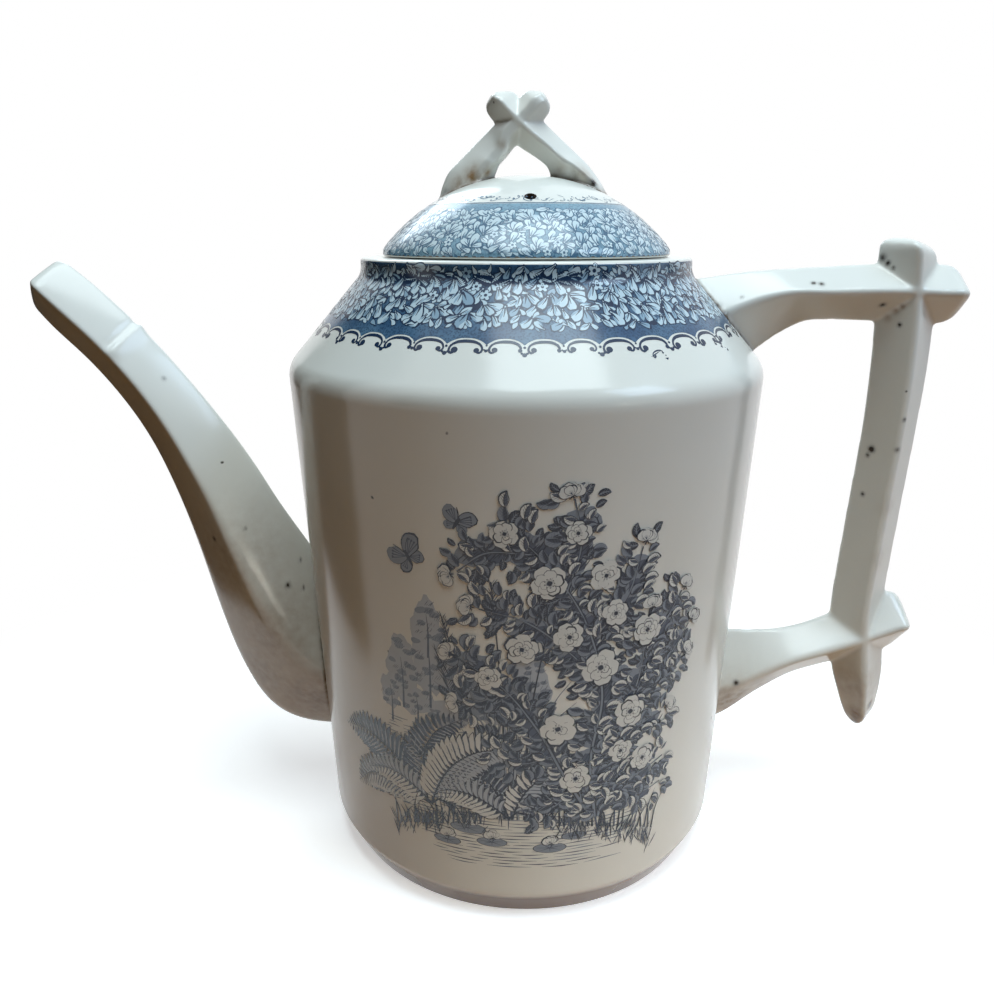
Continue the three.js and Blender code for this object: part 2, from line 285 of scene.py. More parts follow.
def add_value(mesh: Mesh, name: str, values: Array, domain: str = "POINT") -> None:
    """Stores a number for each corner, or for each face's corners, under a name that materials can read."""
    mesh.attributes.new(name, "FLOAT", domain).data.foreach_set("value", np.asarray(values, np.float32))


def marked(mesh: Mesh, **marks: Rows) -> None:
    """Stores how strongly soft round spots mark each corner.

    Args:
        mesh: What is marked.
        **marks: For each name that materials read, each spot's place in millimetres from the pot's axis, its
            radius and its strength.
    """
    at = corners_of(mesh)
    for name, spots in marks.items():
        shades = [strength * np.exp(-(((at - place) ** 2).sum(1) / r**2)) for *place, r, strength in spots]
        add_value(mesh, name, np.max(shades, axis=0))


def flared(normals: Array, away: Array, out: Array, fillet: float) -> Array:
    """Spreads the end of a piece over what it is luted to, as a fillet of slip.

    Args:
        normals: The directions that its corners face.
        away: The directions away from what it is luted to.
        out: How far from that the corners are.
        fillet: The fillet's size.

    Returns:
        How each corner moves.
    """
    level = normals - (normals * away).sum(-1, keepdims=True) * away
    near = np.clip(fillet - out, 0, fillet)
    return level * (fillet - np.sqrt(np.maximum(fillet**2 - near**2, 0)))[..., None]


@dataclass
class Outline:
    """A line of (radius, height) points in millimetres, which is turned round the pot's axis."""

    points: Array

    @classmethod
    def rounded(cls, *corners: Sequence[float], steps: int = 9) -> "Outline":
        """Makes an outline with its corners rounded.

        Args:
            *corners: Radius, height and, where it is rounded, how much.
            steps: Points to a rounding.

        Returns:
            The outline.
        """
        out = []
        for i, (r, z, *rounding) in enumerate(corners):
            corner = np.array([r, z])
            if not rounding:
                out.append(corner)
                continue
            before = np.array(corners[i - 1][:2]) - corner
            after = np.array(corners[i + 1][:2]) - corner
            lengths = np.linalg.norm(before), np.linalg.norm(after)
            half = math.acos(np.clip(before @ after / lengths[0] / lengths[1], -1, 1)) / 2
            run = min(rounding[0] / math.tan(half), 0.49 * min(lengths))
            start, end = corner + before / lengths[0] * run, corner + after / lengths[1] * run
            out += [(1 - t) ** 2 * start + 2 * t * (1 - t) * corner + t**2 * end
                    for t in np.linspace(0, 1, steps)]
        return cls(np.array(out))

    def filled(self, longest: float = 6.0, near: float = 0.4) -> "Outline":
        """Adds points along its straights: one near each end, to keep their shading flat, and some between.

        Args:
            longest: The longest step that is left.
            near: How far the end points lie from the corners.

        Returns:
            The fuller outline.
        """
        out = [self.points[0]]
        for a, b in zip(self.points, self.points[1:]):
            length = np.linalg.norm(b - a)
            if length > 4 * near:
                count = max(2, math.ceil((length - 2 * near) / longest) + 1)
                out += [a + (b - a) * step / length for step in np.linspace(near, length - near, count)]
            out.append(b)
        return Outline(np.array(out))

    def distance(self, places: Array) -> tuple[Array, Array]:
        """Measures how far places stand out from the turned outline.

        Args:
            places: Points in millimetres from the pot's axis.

        Returns:
            The distances, below 0 on the outline's left, and the outward directions.
        """
        radius = np.maximum(np.hypot(places[:, 0], places[:, 1]), 1e-6)
        flat = np.column_stack([radius, places[:, 2]])
        best = np.full(len(flat), np.inf)
        side, towards = np.zeros(len(flat)), np.zeros((len(flat), 2))
        for a, b in zip(self.points, self.points[1:]):
            run = b - a
            size = run @ run
            if size < 1e-12:
                continue
            off = flat - a - np.clip((flat - a) @ run / size, 0, 1)[:, None] * run
            gap = np.hypot(*off.T)
            near = gap < best
            normal = np.array([run[1], -run[0]]) / math.sqrt(size)
            best[near] = gap[near]
            side[near] = np.where(off[near] @ normal >= 0, 1, -1)
            towards[near] = normal
        outward = np.column_stack([places[:, :2] / radius[:, None] * towards[:, :1], towards[:, 1]])
        return best * side, outward

    def turned(self, name: str, finish: "Finish", sides: int) -> Object:
        """Turns it, where it starts and ends on the axis, into a closed piece whose outside is on its right.

        Args:
            name: The piece's name.
            finish: What the piece is finished in.
            sides: How many steps go round.

        Returns:
            The piece.
        """
        angle = np.linspace(0, 2 * np.pi, sides, endpoint=False)
        inner = self.points[1:-1]
        rings = [np.column_stack([r * np.cos(angle), r * np.sin(angle), np.full(sides, z)]) for r, z in inner]
        poles = [[0, 0, self.points[0][1]], [0, 0, self.points[-1][1]]]
        return piece(name, np.vstack([*rings, poles]), skin(len(inner), sides, True, True), finish)


def add_node(tree: NodeTree, kind: str, inputs: dict | None = None, out: int | str = 0,
             **settings) -> NodeSocket:
    """Adds a node to a tree.

    Args:
        tree: The material's or the geometry's tree.
        kind: The node's type. A shader node's goes without its first words.
        inputs: For each socket, by name or number, a value or the output that feeds it.
        out: Which of its outputs is wanted.
        **settings: The node's own settings.

    Returns:
        That output.
    """
    node = tree.nodes.new(kind if "Node" in kind else f"ShaderNode{kind}")
    for name, value in settings.items():
        setattr(node, name, value)
    for name, value in (inputs or {}).items():
        if isinstance(value, NodeSocket):
            tree.links.new(value, node.inputs[name])
        else:
            node.inputs[name].default_value = value
    return node.outputs[out] if node.outputs else None


@dataclass(frozen=True)
class Finish:
    """A finish by name, made once."""

    name: str

    def material(self) -> Material:
        """Gives its material, and builds it the first time.

        Returns:
            The material.
        """
        made = bpy.data.materials.get(self.name)
        if not made:
            made = bpy.data.materials.new(self.name)
            made.use_nodes = True
            tree = made.node_tree
            shader = tree.nodes["Principled BSDF"]
            for socket, value in self.dress(partial(add_node, tree)).items():
                if isinstance(value, NodeSocket):
                    tree.links.new(value, shader.inputs[socket])
                else:
                    shader.inputs[socket].default_value = value
        return made

    def dress(self, add: Callable) -> dict:
        """Adds its nodes, and gives what the shader's inputs are set to."""
        raise NotImplementedError


@dataclass(frozen=True)
class Glaze(Finish):
    """Lead glaze over white ironstone: glassy, a little wavy, greyed and stained, with a few dark pits.

    It is also painted darker as shade at the foot, under the spout and the lower arm, and in the vent.
    """

    colour: str = "#eef0ec"
    tinge: str = "#e6e4da"
    # The foot colour is partly dirt and partly painted shade on the downward-facing foot bevel.
    foot: str = "#7d6040"
    stain: str = "#8b6a3e"
    dirt: str = "#54422f"
    pit_and_vent_shade: str = "#32271f"
    roughness: float = 0.15
    cloud_mm: float = 45.0
    ragged_mm: float = 2.5
    wander_mm: float = 1.1
    wave_mm: float = 22.0
    peel_mm: float = 2.2
    pit_spacing_mm: float = 15.0
    pit_radius_mm: float = 0.6
    heel_mm: tuple[float, float] = (8.5, 5.5)

    def dress(self, add: Callable) -> dict:
        """Adds the glaze's stains and pits.

        Args:
            add: Adds a node to its tree.

        Returns:
            What the shader's inputs are set to.
        """
        place = add("TexCoord", out="Object")
        cloud = add("TexNoise", {"Vector": place, "Scale": 1000 / self.cloud_mm, "Detail": 3.0})
        ragged = add("TexNoise", {"Vector": place, "Scale": 1000 / self.ragged_mm, "Detail": 5.0})
        colour = add("Mix", {0: cloud, 6: linear(self.colour), 7: linear(self.tinge)}, 2, data_type="RGBA")
        # Below the heel the glaze is browned by tea and dust, and darkened further as painted shade on the
        # foot's downward bevel. It is stained wherever it runs into a corner.
        high, bottom = (edge * MM for edge in self.heel_mm)
        low = add("MapRange", {"Value": add("SeparateXYZ", {0: place}, "Z"), "From Min": high,
                               "From Max": bottom, "To Max": 1.6}, interpolation_type="SMOOTHSTEP")
        brown, seam, flaw, vent_shade = (add("Attribute", out="Fac", attribute_name=name)
                                   for name in ("stain", "seam", "flaw", "bored"))
        wander = add("VectorMath", {0: ragged.node.outputs["Color"], 1: (self.wander_mm * MM,) * 3, 2: place},
                     operation="MULTIPLY_ADD")
        cells = add("TexVoronoi", {"Vector": wander, "Scale": 1000 / self.pit_spacing_mm})
        edge = self.pit_radius_mm / self.pit_spacing_mm
        worst = add("MapRange", {"Value": cells, "From Min": edge * 0.4, "From Max": edge, "To Min": 0.9,
                                 "To Max": 0.0}, interpolation_type="SMOOTHSTEP")
        # The vent's bore takes the pit colour as painted shade.
        for mark in (vent_shade, self.broken(add, flaw, ragged, 2.4)):
            worst = add("Math", {0: worst, 1: mark}, operation="MAXIMUM")
        # The stain spots include large ones under the spout and the lower arm that are painted shade.
        for cover, layer in ((self.broken(add, low, cloud, 1.6), self.foot),
                             (self.broken(add, brown, ragged, 1.7), self.stain),
                             (self.broken(add, seam, ragged, 2.2), self.dirt), (worst, self.pit_and_vent_shade)):
            colour = add("Mix", {0: cover, 6: colour, 7: linear(layer)}, 2, data_type="RGBA")
        return {"Base Color": colour, **self.gloss(add, place)}

    def broken(self, add: Callable, amount: NodeSocket, noise: NodeSocket, gain: float) -> NodeSocket:
        """Breaks up an amount with a noise, so that a stain has no even edge."""
        product = add("Math", {0: amount, 1: noise}, operation="MULTIPLY")
        return add("Math", {0: product, 1: gain}, operation="MULTIPLY", use_clamp=True)

    def gloss(self, add: Callable, place: NodeSocket) -> dict:
        """Adds the shine and the slow waves of the glaze's surface, the same over print and bare ware.

        Args:
            add: Adds a node to its tree.
            place: Where the surface is.

        Returns:
            What the shader's inputs are set to.
        """
        cloud = add("TexNoise", {"Vector": place, "Scale": 1000 / self.cloud_mm, "Detail": 3.0})
        smooth, rough = self.roughness * 0.7, self.roughness * 1.5
        shine = add("MapRange", {"Value": cloud, "To Min": smooth, "To Max": rough})
        wave = add("TexNoise", {"Vector": place, "Scale": 1000 / self.wave_mm, "Detail": 1.5})
        peel = add("TexNoise", {"Vector": place, "Scale": 1000 / self.peel_mm, "Detail": 1.0})
        relief = add("Bump", {"Height": wave, "Strength": 1.0, "Distance": 0.00025})
        fine = add("Bump", {"Height": peel, "Strength": 1.0, "Distance": 0.000004, "Normal": relief})
        return {"Roughness": shine, "Normal": fine, "IOR": 1.45}


@dataclass(frozen=True)
class Transfer(Glaze):
    """Cobalt ink from a printed tissue, fired under the glaze: flat colour with the glaze's shine over it."""

    speckle: float = 0.0
    dark: str = "#203a56"
    light: str = "#6c92ac"
    dot_mm: float = 0.55
    patch_mm: float = 9.0

    def dress(self, add: Callable) -> dict:
        """Adds the ink: plain, or dotted like a stippled plate.

        Args:
            add: Adds a node to its tree.

        Returns:
            What the shader's inputs are set to.
        """
        place = add("TexCoord", out="Object")
        colour = linear(self.colour)
        if self.speckle:
            # The dots are drawn about twice as coarse as an engraver's, so that they show at this distance.
            dots = add("TexVoronoi", {"Vector": place, "Scale": 1000 / self.dot_mm})
            fade = add("MapRange", {"Value": dots, "From Min": 0.2, "From Max": 0.62, "To Min": self.speckle,
                                    "To Max": 0.0})
            patch = add("TexNoise", {"Vector": place, "Scale": 1000 / self.patch_mm, "Detail": 2.0})
            cover = add("MapRange", {"Value": patch, "From Min": 0.35, "From Max": 0.68, "To Max": 0.55})
            for amount, ink in ((cover, self.light), (fade, self.dark)):
                colour = add("Mix", {0: amount, 6: colour, 7: linear(ink)}, 2, data_type="RGBA")
        return {"Base Color": colour, **self.gloss(add, place)}


@dataclass(frozen=True)
class Felt(Finish):
    """Dark wool felt, matt, on the cards that keep light off the ware."""

    colour: str = "#3a322b"

    def dress(self, add: Callable) -> dict:
        """Gives the shader's colour and roughness."""
        return {"Base Color": linear(self.colour), "Roughness": 1.0}


GLAZE = Glaze("ironstone_cream_glaze")


@dataclass
class PotBody:
    """The pot: foot ring, wall, shoulder, collar and rim, with a strainer pierced behind the spout."""

    foot: tuple[float, float] = (54.4, 0.0)
    foot_bevel: float = 1.5
    foot_top: tuple[float, float] = (57.2, 5.4)
    heel: tuple[float, float] = (58.8, 8.8)
    shoulder: tuple[float, float] = (64.9, 140.8)
    collar_foot: tuple[float, float] = (44.4, 164.2)
    rim_height: float = 168.4
    rim_width: float = 3.0
    mouth_radius: float = 32.4
    ledge_drop: float = 4.4
    wall: float = 4.0
    floor_height: float = 7.4
    foot_recess: float = 2.8
    foot_ring: float = 4.0
    strainer_radius: float = 2.0
    strainer_pitch: float = 7.0
    strainer_height: float = 50.6
    strainer_rows: int = 2
    finish: Finish = GLAZE

    def wall_radius(self, z: float) -> float:
        """Gives the wall's outer radius at a height."""
        share = (z - self.heel[1]) / (self.shoulder[1] - self.heel[1])
        return self.heel[0] + share * (self.shoulder[0] - self.heel[0])

    def outside(self) -> Outline:
        """Gives the outside from the foot ring's edge to the rim's, its right side outwards.

        Returns:
            The open outline.
        """
        collar, rim = self.collar_foot[0], self.rim_height
        return Outline.rounded(
            (self.foot[0] - self.foot_bevel, 0), (*self.foot, 0.8), (*self.foot_top, 0.9), (*self.heel, 1.6),
            (*self.shoulder, 8), (*self.collar_foot, 5), (collar, rim, 1.2), (collar - self.rim_width, rim),
            steps=14)

    def profile(self) -> Outline:
        """Gives the whole section, from the middle of the underside to the middle of the floor.

        Returns:
            The closed section.
        """
        ring, recess = self.foot[0] - self.foot_ring, self.foot_recess
        collar, rim, mouth = self.collar_foot[0], self.rim_height, self.mouth_radius
        under = Outline.rounded((0, recess), (ring - recess, recess, 0.8), (ring, 0, 0.8),
                                (self.foot[0] - self.foot_bevel, 0))
        inside = Outline.rounded(
            (collar - self.rim_width, rim), (mouth, rim, 1.2), (mouth, rim - self.ledge_drop, 1.0),
            (collar - 2.6, rim - self.ledge_drop - 3, 1.5),
            (self.shoulder[0] - self.wall - 0.1, self.shoulder[1] - 1.7, 4),
            (self.wall_radius(self.floor_height) - self.wall, self.floor_height, 7), (0, self.floor_height))
        return Outline(np.vstack([under.points, self.outside().points[1:], inside.points[1:]])).filled()

    def build(self) -> list[Object]:
        """Makes the pot and pierces its strainer, whose holes stand in a lozenge.

        Returns:
            The pot as the only piece.
        """
        pot = self.profile().turned("pot_glazed_body", self.finish, 192)
        drills = []
        for row in range(-self.strainer_rows, self.strainer_rows + 1):
            count = self.strainer_rows + 1 - abs(row)
            z = self.strainer_height + row * self.strainer_pitch
            for i in range(count):
                y = (i - (count - 1) / 2) * self.strainer_pitch
                drills += [(9 - self.wall_radius(z), y, z), (-4 - self.wall_radius(z), y, z)]
        bored(pot, drills, (0, 1, 0), self.strainer_radius, 20)
        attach(pot, "pot")
        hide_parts("pot_body")
        return [pot]


@dataclass
class Spout:
    """The spout: hollow, of soft diamond section, luted on low, with a raised band near its tip."""

    reach: float = 80.6
    root_height: float = 22.6
    tip_drop: float = 2.2
    wall: float = 3.2
    lip: tuple[float, float, float] = (3.6, 2.3, 0.9)
    half_depth: float = 8.6
    root_half_depth: float = 14.6
    flatness: float = 1.08
    band_height: float = 0.6
    band_width: float = 0.9
    band_setback: float = 28.0
    fillet: float = 1.3
    sunk: float = 1.2
    sides: int = 112
    steps: int = 230
    under: tuple = (
        (-0.12, 0), (0.13, 0.006), (0.265, 0.05), (0.362, 0.153), (0.425, 0.275), (0.472, 0.39),
        (0.512, 0.48), (0.56, 0.568), (0.618, 0.653), (0.7, 0.735), (0.81, 0.816), (0.922, 0.88),
        (0.992, 0.93))
    over: tuple = (
        (-0.12, 0.28), (-0.07, 0.31), (-0.02, 0.355), (0.04, 0.405), (0.09, 0.45), (0.168, 0.52),
        (0.25, 0.605), (0.344, 0.688), (0.446, 0.767), (0.548, 0.84), (0.662, 0.909), (0.77, 0.968),
        (0.87, 1.014))
    extra_depth: tuple = (1, 1, 1, 0.96, 0.86, 0.66, 0.4, 0.2, 0.06, 0, 0, 0, 0)
    ridge_shift: tuple = (0.15, 0.15, 0.14, 0.1, 0.06, 0.03, 0.02, 0, 0, 0, 0, 0, 0)
    flaws: tuple = ((-102.3, -3.7, 135, 0.6, 0.8), (-90.3, -8.8, 89, 0.7, 1), (-81.1, -8.9, 92, 0.5, 0.8),
                    (-69.7, -8.8, 74.4, 0.8, 1), (-65.8, -7, 72.7, 0.5, 0.9), (-66.9, -4.2, 80.6, 0.5, 0.7))
    # Brown stain spots; the large soft ones under the spout are painted shade.
    stain_and_shade_spots: tuple = (
        (-65, -12, 35, 11, 0.75), (-80, -6, 44, 10, 0.5), (-62, -15, 45, 5, 0.5), (-62, 15, 45, 6, 0.6),
        (-76, -11, 55, 5, 0.4), (-92, -4, 70, 9, 0.3), (-84, -9, 82, 16, 0.3), (-74, -11, 60, 15, 0.42))
    finish: Finish = GLAZE

    def side_view(self, pot: PotBody) -> Array:
        """Reads the spout's side view at fine steps.

        Args:
            pot: What it is luted to.

        Returns:
            For each step its middle and half its height, both as x and height, and half its depth.
        """
        start = np.array([-pot.wall_radius(self.root_height), self.root_height])
        scale = [-self.reach, pot.rim_height - self.tip_drop - self.root_height]
        count, given = 600, len(self.extra_depth)
        low, high = (eased(through(start + np.array(edge) * scale, count), 14)
                     for edge in (self.under, self.over))
        extra = np.interp(np.linspace(0, 1, count), np.linspace(0, 1, given), self.extra_depth)
        depth = self.half_depth + (self.root_half_depth - self.half_depth) * extra
        return np.column_stack([(low + high) / 2, (high - low) / 2, eased(depth[:, None], 20)])

    def section(self, softness: float) -> Array:
        """Gives a ring of the soft diamond between -1 and 1, from its upper edge round by the front.

        Args:
            softness: How far its arrises are rounded, as a share of half its size.

        Returns:
            Across and deep for each side.
        """
        count = 720
        angle = np.linspace(0, 2 * np.pi, count, endpoint=False)
        way = np.column_stack([np.cos(angle), -np.sin(angle)])
        ring = np.sign(way) * np.abs(way) ** (2 / self.flatness)
        ring = eased(evenly(np.vstack([ring, ring[:1]]), count + 1)[:-1], softness * count / 5.6, True)
        ring /= np.abs(ring).max(0)
        return evenly(np.vstack([ring, ring[:1]]), self.sides + 1)[:-1]

    def band(self, ahead: Array) -> Array:
        """Gives the raised line round the upper faces: a bead, a long bevel behind it and a groove before it.

        Args:
            ahead: How far towards the tip each place lies from it.

        Returns:
            How far each place stands out.
        """
        width = np.where(ahead > 0, self.band_width, self.band_width * 2.6)
        groove = 0.4 * np.exp(-(((ahead - 2.6 * self.band_width) / self.band_width) ** 2))
        return self.band_height * (np.exp(-((ahead / width) ** 2)) - groove)

    def build(self, pot: PotBody) -> list[Object]:
        """Makes the spout. Each line of corners starts where it meets the wall, so the root follows it.

        Args:
            pot: What it is luted to.

        Returns:
            The spout as the only piece.
        """
        view = self.side_view(pot)
        run = run_of(view)
        tip = run[-1]
        size = np.linalg.norm(view[:, 2:4], axis=1)
        shift = np.interp(run / tip, np.linspace(0, 1, len(self.ridge_shift)), self.ridge_shift)
        table = np.column_stack([view[:, :2], view[:, 2:4] / size[:, None], size, view[:, 4], shift])
        sharp, soft = self.section(0.05), self.section(0.12)

        def corner(at: Array, side: int, inset: Array, band: bool = False) -> Array:
            """Gives the corners of one line.

            Args:
                at: How far along the middle each is.
                side: Which of the lines it is.
                inset: How far each is moved in.
                band: Whether the raised band is on it.

            Returns:
                The corners.
            """
            here = np.clip(at, 0, tip)
            x, z, way_x, way_z, half, deep, ridge = columns(here, run, table).T
            share = np.clip(here / tip * 2.2 - 0.3, 0, 1)[:, None]
            across, ring = (soft[side] * (1 - share) + sharp[side] * share).T
            across = across + ridge * (1 - np.abs(across)) * (1 - inset / self.wall)
            grow = -inset
            if band:
                grow = grow + self.band(here - tip + self.band_setback) * np.clip(across * 5 + 0.1, 0, 1)
            across = across * (half + grow)
            return np.column_stack([x + way_x * across, (deep + grow) * ring, z + way_z * across])

        turn = np.linspace(0, np.pi / 2, 9)
        lip_long, lip_in, lip_dip = self.lip
        lip_run = np.concatenate([tip - lip_long * (1 - np.sin(turn)),
                                  tip - lip_dip * (1 - np.cos(turn[1:]))])
        lip_inset = np.concatenate([lip_in * (1 - np.cos(turn)),
                                    lip_in + (self.wall - lip_in) * np.sin(turn[1:])])
        surface = Outline(np.array([(pot.wall_radius(z), z) for z in (0, 160)]))
        search = np.linspace(0, tip * 0.6, 500)
        inner = self.steps // 3
        lines = []
        for side in range(self.sides):
            tries = (surface.distance(corner(search, side, inset, not inset))[0]
                     for inset in (0.0, self.wall))
            outer, vent_shade = (search[np.argmax(out > -self.sunk)] for out in tries)
            at = outer + (lip_run[0] - outer) * np.linspace(0, 1, self.steps, endpoint=False) ** 1.15
            lines.append(np.vstack([
                corner(at, side, np.zeros(self.steps), True), corner(lip_run, side, lip_inset),
                corner(np.linspace(lip_run[-1], vent_shade, inner + 1)[1:], side, np.full(inner, self.wall))]))
        points = np.stack(lines, 1)
        count = len(points)
        rings = points[: self.steps]
        out = surface.distance(rings.reshape(-1, 3))[0].reshape(self.steps, self.sides)
        normal = np.cross(np.roll(rings, -1, 1) - np.roll(rings, 1, 1), np.gradient(rings, axis=0))
        normal /= np.maximum(np.linalg.norm(normal, axis=2, keepdims=True), 1e-9)
        radial = rings * [1, 1, 0]
        radial /= np.linalg.norm(radial, axis=2, keepdims=True)
        rings += flared(normal, radial, out, self.fillet)
        seam = np.zeros((count, self.sides))
        seam[: self.steps] = np.exp(-np.maximum(out, 0) / SEAM_WIDTH)
        last = (count - 1) * self.sides
        ends = [(i, last + i, last + j, j) for i, j in zip(range(self.sides), [*range(1, self.sides), 0])]
        spout = piece("spout_luted", points.reshape(-1, 3), skin(count, self.sides) + ends, self.finish)
        add_value(spout.data, "seam", seam.ravel())
        marked(spout.data, flaw=self.flaws, stain=self.stain_and_shade_spots)
        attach(spout, "pot")
        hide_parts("spout")
        return [spout]


@dataclass
class CrossedSticks:
    """Sticks of diamond section, run together where they cross and luted to a turned surface.

    Each station of a stick gives x and height of its left edge and of its right edge, seen along its run, and
    how far its front and back ridges lie towards the left one, between -1 and 1.
    """

    half_width: float
    half_depth: float
    flats: tuple[float, ...]
    voxel: float
    fillet: float
    sunk: float
    flaws: tuple
    stain_and_shade_spots: tuple
    rounds: int = 5
    step: float = 0.8
    finish: Finish = GLAZE

    def stick(self, stations: Rows, flat: float) -> tuple[Array, Faces]:
        """Lofts one stick.

        Args:
            stations: Its stations.
            flat: Half the width of the flats along its arrises.

        Returns:
            Its corners and faces.
        """
        edges = np.array(stations, float)
        left, right = edges[:, :2], edges[:, 2:4]
        # The ridges' place is weighed against the millimetres beside it, for the curve's knots.
        dense = through(np.column_stack([(left + right) / 2, (left - right) / 2, edges[:, 4] * 4]), 800)
        rings = []
        for x, z, across, up, ridge in evenly(dense, int(run_of(dense)[-1] / self.step)):
            wide = math.hypot(across, up)
            deep = self.half_depth * min(1.0, wide / self.half_width) ** 0.6
            edge, top = min(flat, wide / 3), ridge / 4 * wide
            outline = [(wide, edge), (wide, -edge), (top + edge, -deep), (top - edge, -deep),
                       (-wide, -edge), (-wide, edge), (top - edge, deep), (top + edge, deep)]
            rings.append([(x + across / wide * u, v, z + up / wide * u) for u, v in outline])
        points = np.array(rings)
        faces = [face[::-1] for face in skin(len(rings), 8, True, True)]
        return np.vstack([points.reshape(-1, 3), points[0].mean(0), points[-1].mean(0)]), faces

    def luted(self, name: str, sticks: Sequence[Rows], seat: Outline) -> Object:
        """Makes the sticks one smooth piece that ends just under a surface, with a fillet and a stained seam.

        Args:
            name: The piece's name.
            sticks: The stations of each stick.
            seat: The outline of what it is luted to.

        Returns:
            The piece.
        """
        made = piece(name, *joined([self.stick(*stick) for stick in zip(sticks, self.flats)]), self.finish)
        remesh = made.modifiers.new("run_together", "REMESH")
        remesh.mode, remesh.voxel_size, remesh.use_smooth_shade = "VOXEL", self.voxel * MM, True
        cooked(made)
        # Each corner moves towards its neighbours, which rounds the arrises and fills the inner corners.
        a, b = fetched(made.data.edges, "vertices", 2, int).T
        at = corners_of(made.data)
        count = np.bincount(np.concatenate([a, b]), minlength=len(at))[:, None]
        for _ in range(self.rounds):
            total = np.zeros_like(at)
            np.add.at(total, a, at[b])
            np.add.at(total, b, at[a])
            at = at + 0.5 * (total / count - at)
        set_corners(made.data, at)
        at = corners_of(made.data)
        out, away = seat.distance(at)
        at = at + flared(fetched(made.data.vertices, "normal", 3), away, out, self.fillet)
        out, away = seat.distance(at)
        set_corners(made.data, at + away * np.maximum(-self.sunk - out, 0)[:, None])
        add_value(made.data, "seam", np.exp(-np.maximum(out, 0) / SEAM_WIDTH))
        marked(made.data, flaw=self.flaws, stain=self.stain_and_shade_spots)
        return made


@dataclass
class Handle(CrossedSticks):
    """The handle: an upper arm, a lower arm and a grip, as crossed sticks run together."""

    half_width: float = 7.4
    half_depth: float = 8.2
    flats: tuple[float, ...] = (0.5, 0.5, 0.5)
    voxel: float = 0.55
    fillet: float = 1.2
    sunk: float = 1.2
    upper: tuple = (
        (41, 161, 57, 139, 0.1), (44.9, 162.4, 62.9, 142.5, 0.11), (50, 163.1, 66, 145, 0.16),
        (58, 164.3, 70.5, 148.2, 0.21), (66.9, 165.1, 76.6, 151.2, 0.2), (80.6, 165.9, 83.5, 151.8, 0.1),
        (93.8, 166.6, 92.7, 151.5, 0.1), (104, 166.8, 104, 151, 0.1), (111.4, 166.6, 111.5, 150.6, 0.1),
        (115, 165.9, 115.5, 151.5, 0.1), (117.3, 163.8, 117.8, 153.6, 0.1), (118.4, 161, 118.7, 156, 0),
        (118.8, 159.4, 118.9, 157.6, 0))
    lower: tuple = (
        (55, 58, 54, 25, 0), (64.7, 57.8, 63.2, 28.5, -0.04), (72, 57.8, 74, 37, -0.05),
        (79, 58.4, 83.5, 43.2, 0), (85.8, 60.1, 91.5, 46.2, 0.05), (93.7, 63.5, 99, 48.5, 0.02),
        (103.5, 68, 107, 51.1, 0), (109.6, 71, 112.2, 52.8, 0), (112.9, 70.4, 114.9, 55.3, 0),
        (115.2, 67, 116.3, 57.8, 0), (116.4, 63.8, 116.8, 60, 0))
    grip: tuple = (
        (104.6, 26.6, 106.8, 27, 0.1), (102.9, 28.6, 109, 28.4, 0.1), (101, 32.6, 111, 31.6, 0.1),
        (99, 38.1, 111.7, 37, 0.1), (96.7, 45, 111.9, 45, 0.05), (94.6, 56, 110.6, 57, 0),
        (93.9, 66, 109.4, 67, 0), (95, 93.6, 110.2, 93.8, 0), (96.5, 123.4, 111.5, 122, 0),
        (96.4, 142, 112.1, 141, 0), (95.8, 155, 111.6, 155, 0), (95.1, 163, 110.9, 163, 0),
        (94.9, 168, 110.5, 167, 0), (94.9, 171.2, 109.8, 169.4, 0), (95.6, 172.6, 108.2, 170.9, 0),
        (97.6, 173.2, 106, 172, 0), (99.6, 173.4, 103, 172.9, 0))
    flaws: tuple = (
        (76.5, -5.8, 161.8, 0.6, 1), (78.5, -6.1, 161.6, 0.7, 1), (95.5, -1.2, 168.1, 1, 1),
        (96.6, -2.3, 166.9, 0.7, 0.9), (97.8, -3.5, 165.6, 0.5, 0.8), (95.6, -5.1, 156.1, 0.8, 0.9),
        (100.7, -5.3, 150.9, 0.6, 0.9), (98.6, -3.1, 116, 0.9, 1), (98, -2.5, 114.1, 0.6, 0.8),
        (104.5, -8, 125.5, 0.6, 0.8), (103.7, -8, 117, 0.7, 0.7), (97.8, -3.1, 102.6, 0.6, 0.8),
        (65.3, -8, 43.6, 0.8, 1), (108.1, -4.3, 34.6, 0.9, 1), (57.7, -6.7, 158.2, 0.5, 0.6),
        (48, -5.6, 160.2, 0.9, 1), (49.6, -6.6, 158.1, 0.8, 1), (51.2, -7.2, 156, 1.1, 1),
        (52.8, -7.8, 153.8, 0.9, 1))
    # Brown stain spots; the large soft ones under the lower arm near its root are painted shade.
    stain_and_shade_spots: tuple = (
        (65, -5, 35, 9, 0.75), (76, -4, 40, 7, 0.5), (98.3, -2.9, 152.5, 1, 0.6), (99.4, -4.4, 154.6, 1, 0.7),
        (100.6, -5.7, 155.9, 0.8, 0.7), (103, -5, 41, 8, 0.4), (104, -4.7, 31.6, 3.2, 0.9),
        (108.1, -4.3, 34.6, 2.6, 0.9), (105, -3, 28, 3, 0.8), (104, 4.7, 31.6, 3.2, 0.7),
        (104.5, -8, 100, 3, 0.2), (104, -8, 84, 3, 0.2))

    def build(self, pot: PotBody) -> list[Object]:
        """Makes the handle.

        Args:
            pot: What it is luted to.

        Returns:
            The handle as the only piece.
        """
        made = self.luted("handle_crossed_sticks", (self.upper, self.lower, self.grip), pot.outside())
        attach(made, "pot")
        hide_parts("handle_upper_arm", "handle_grip", "handle_lower_arm")
        return [made]


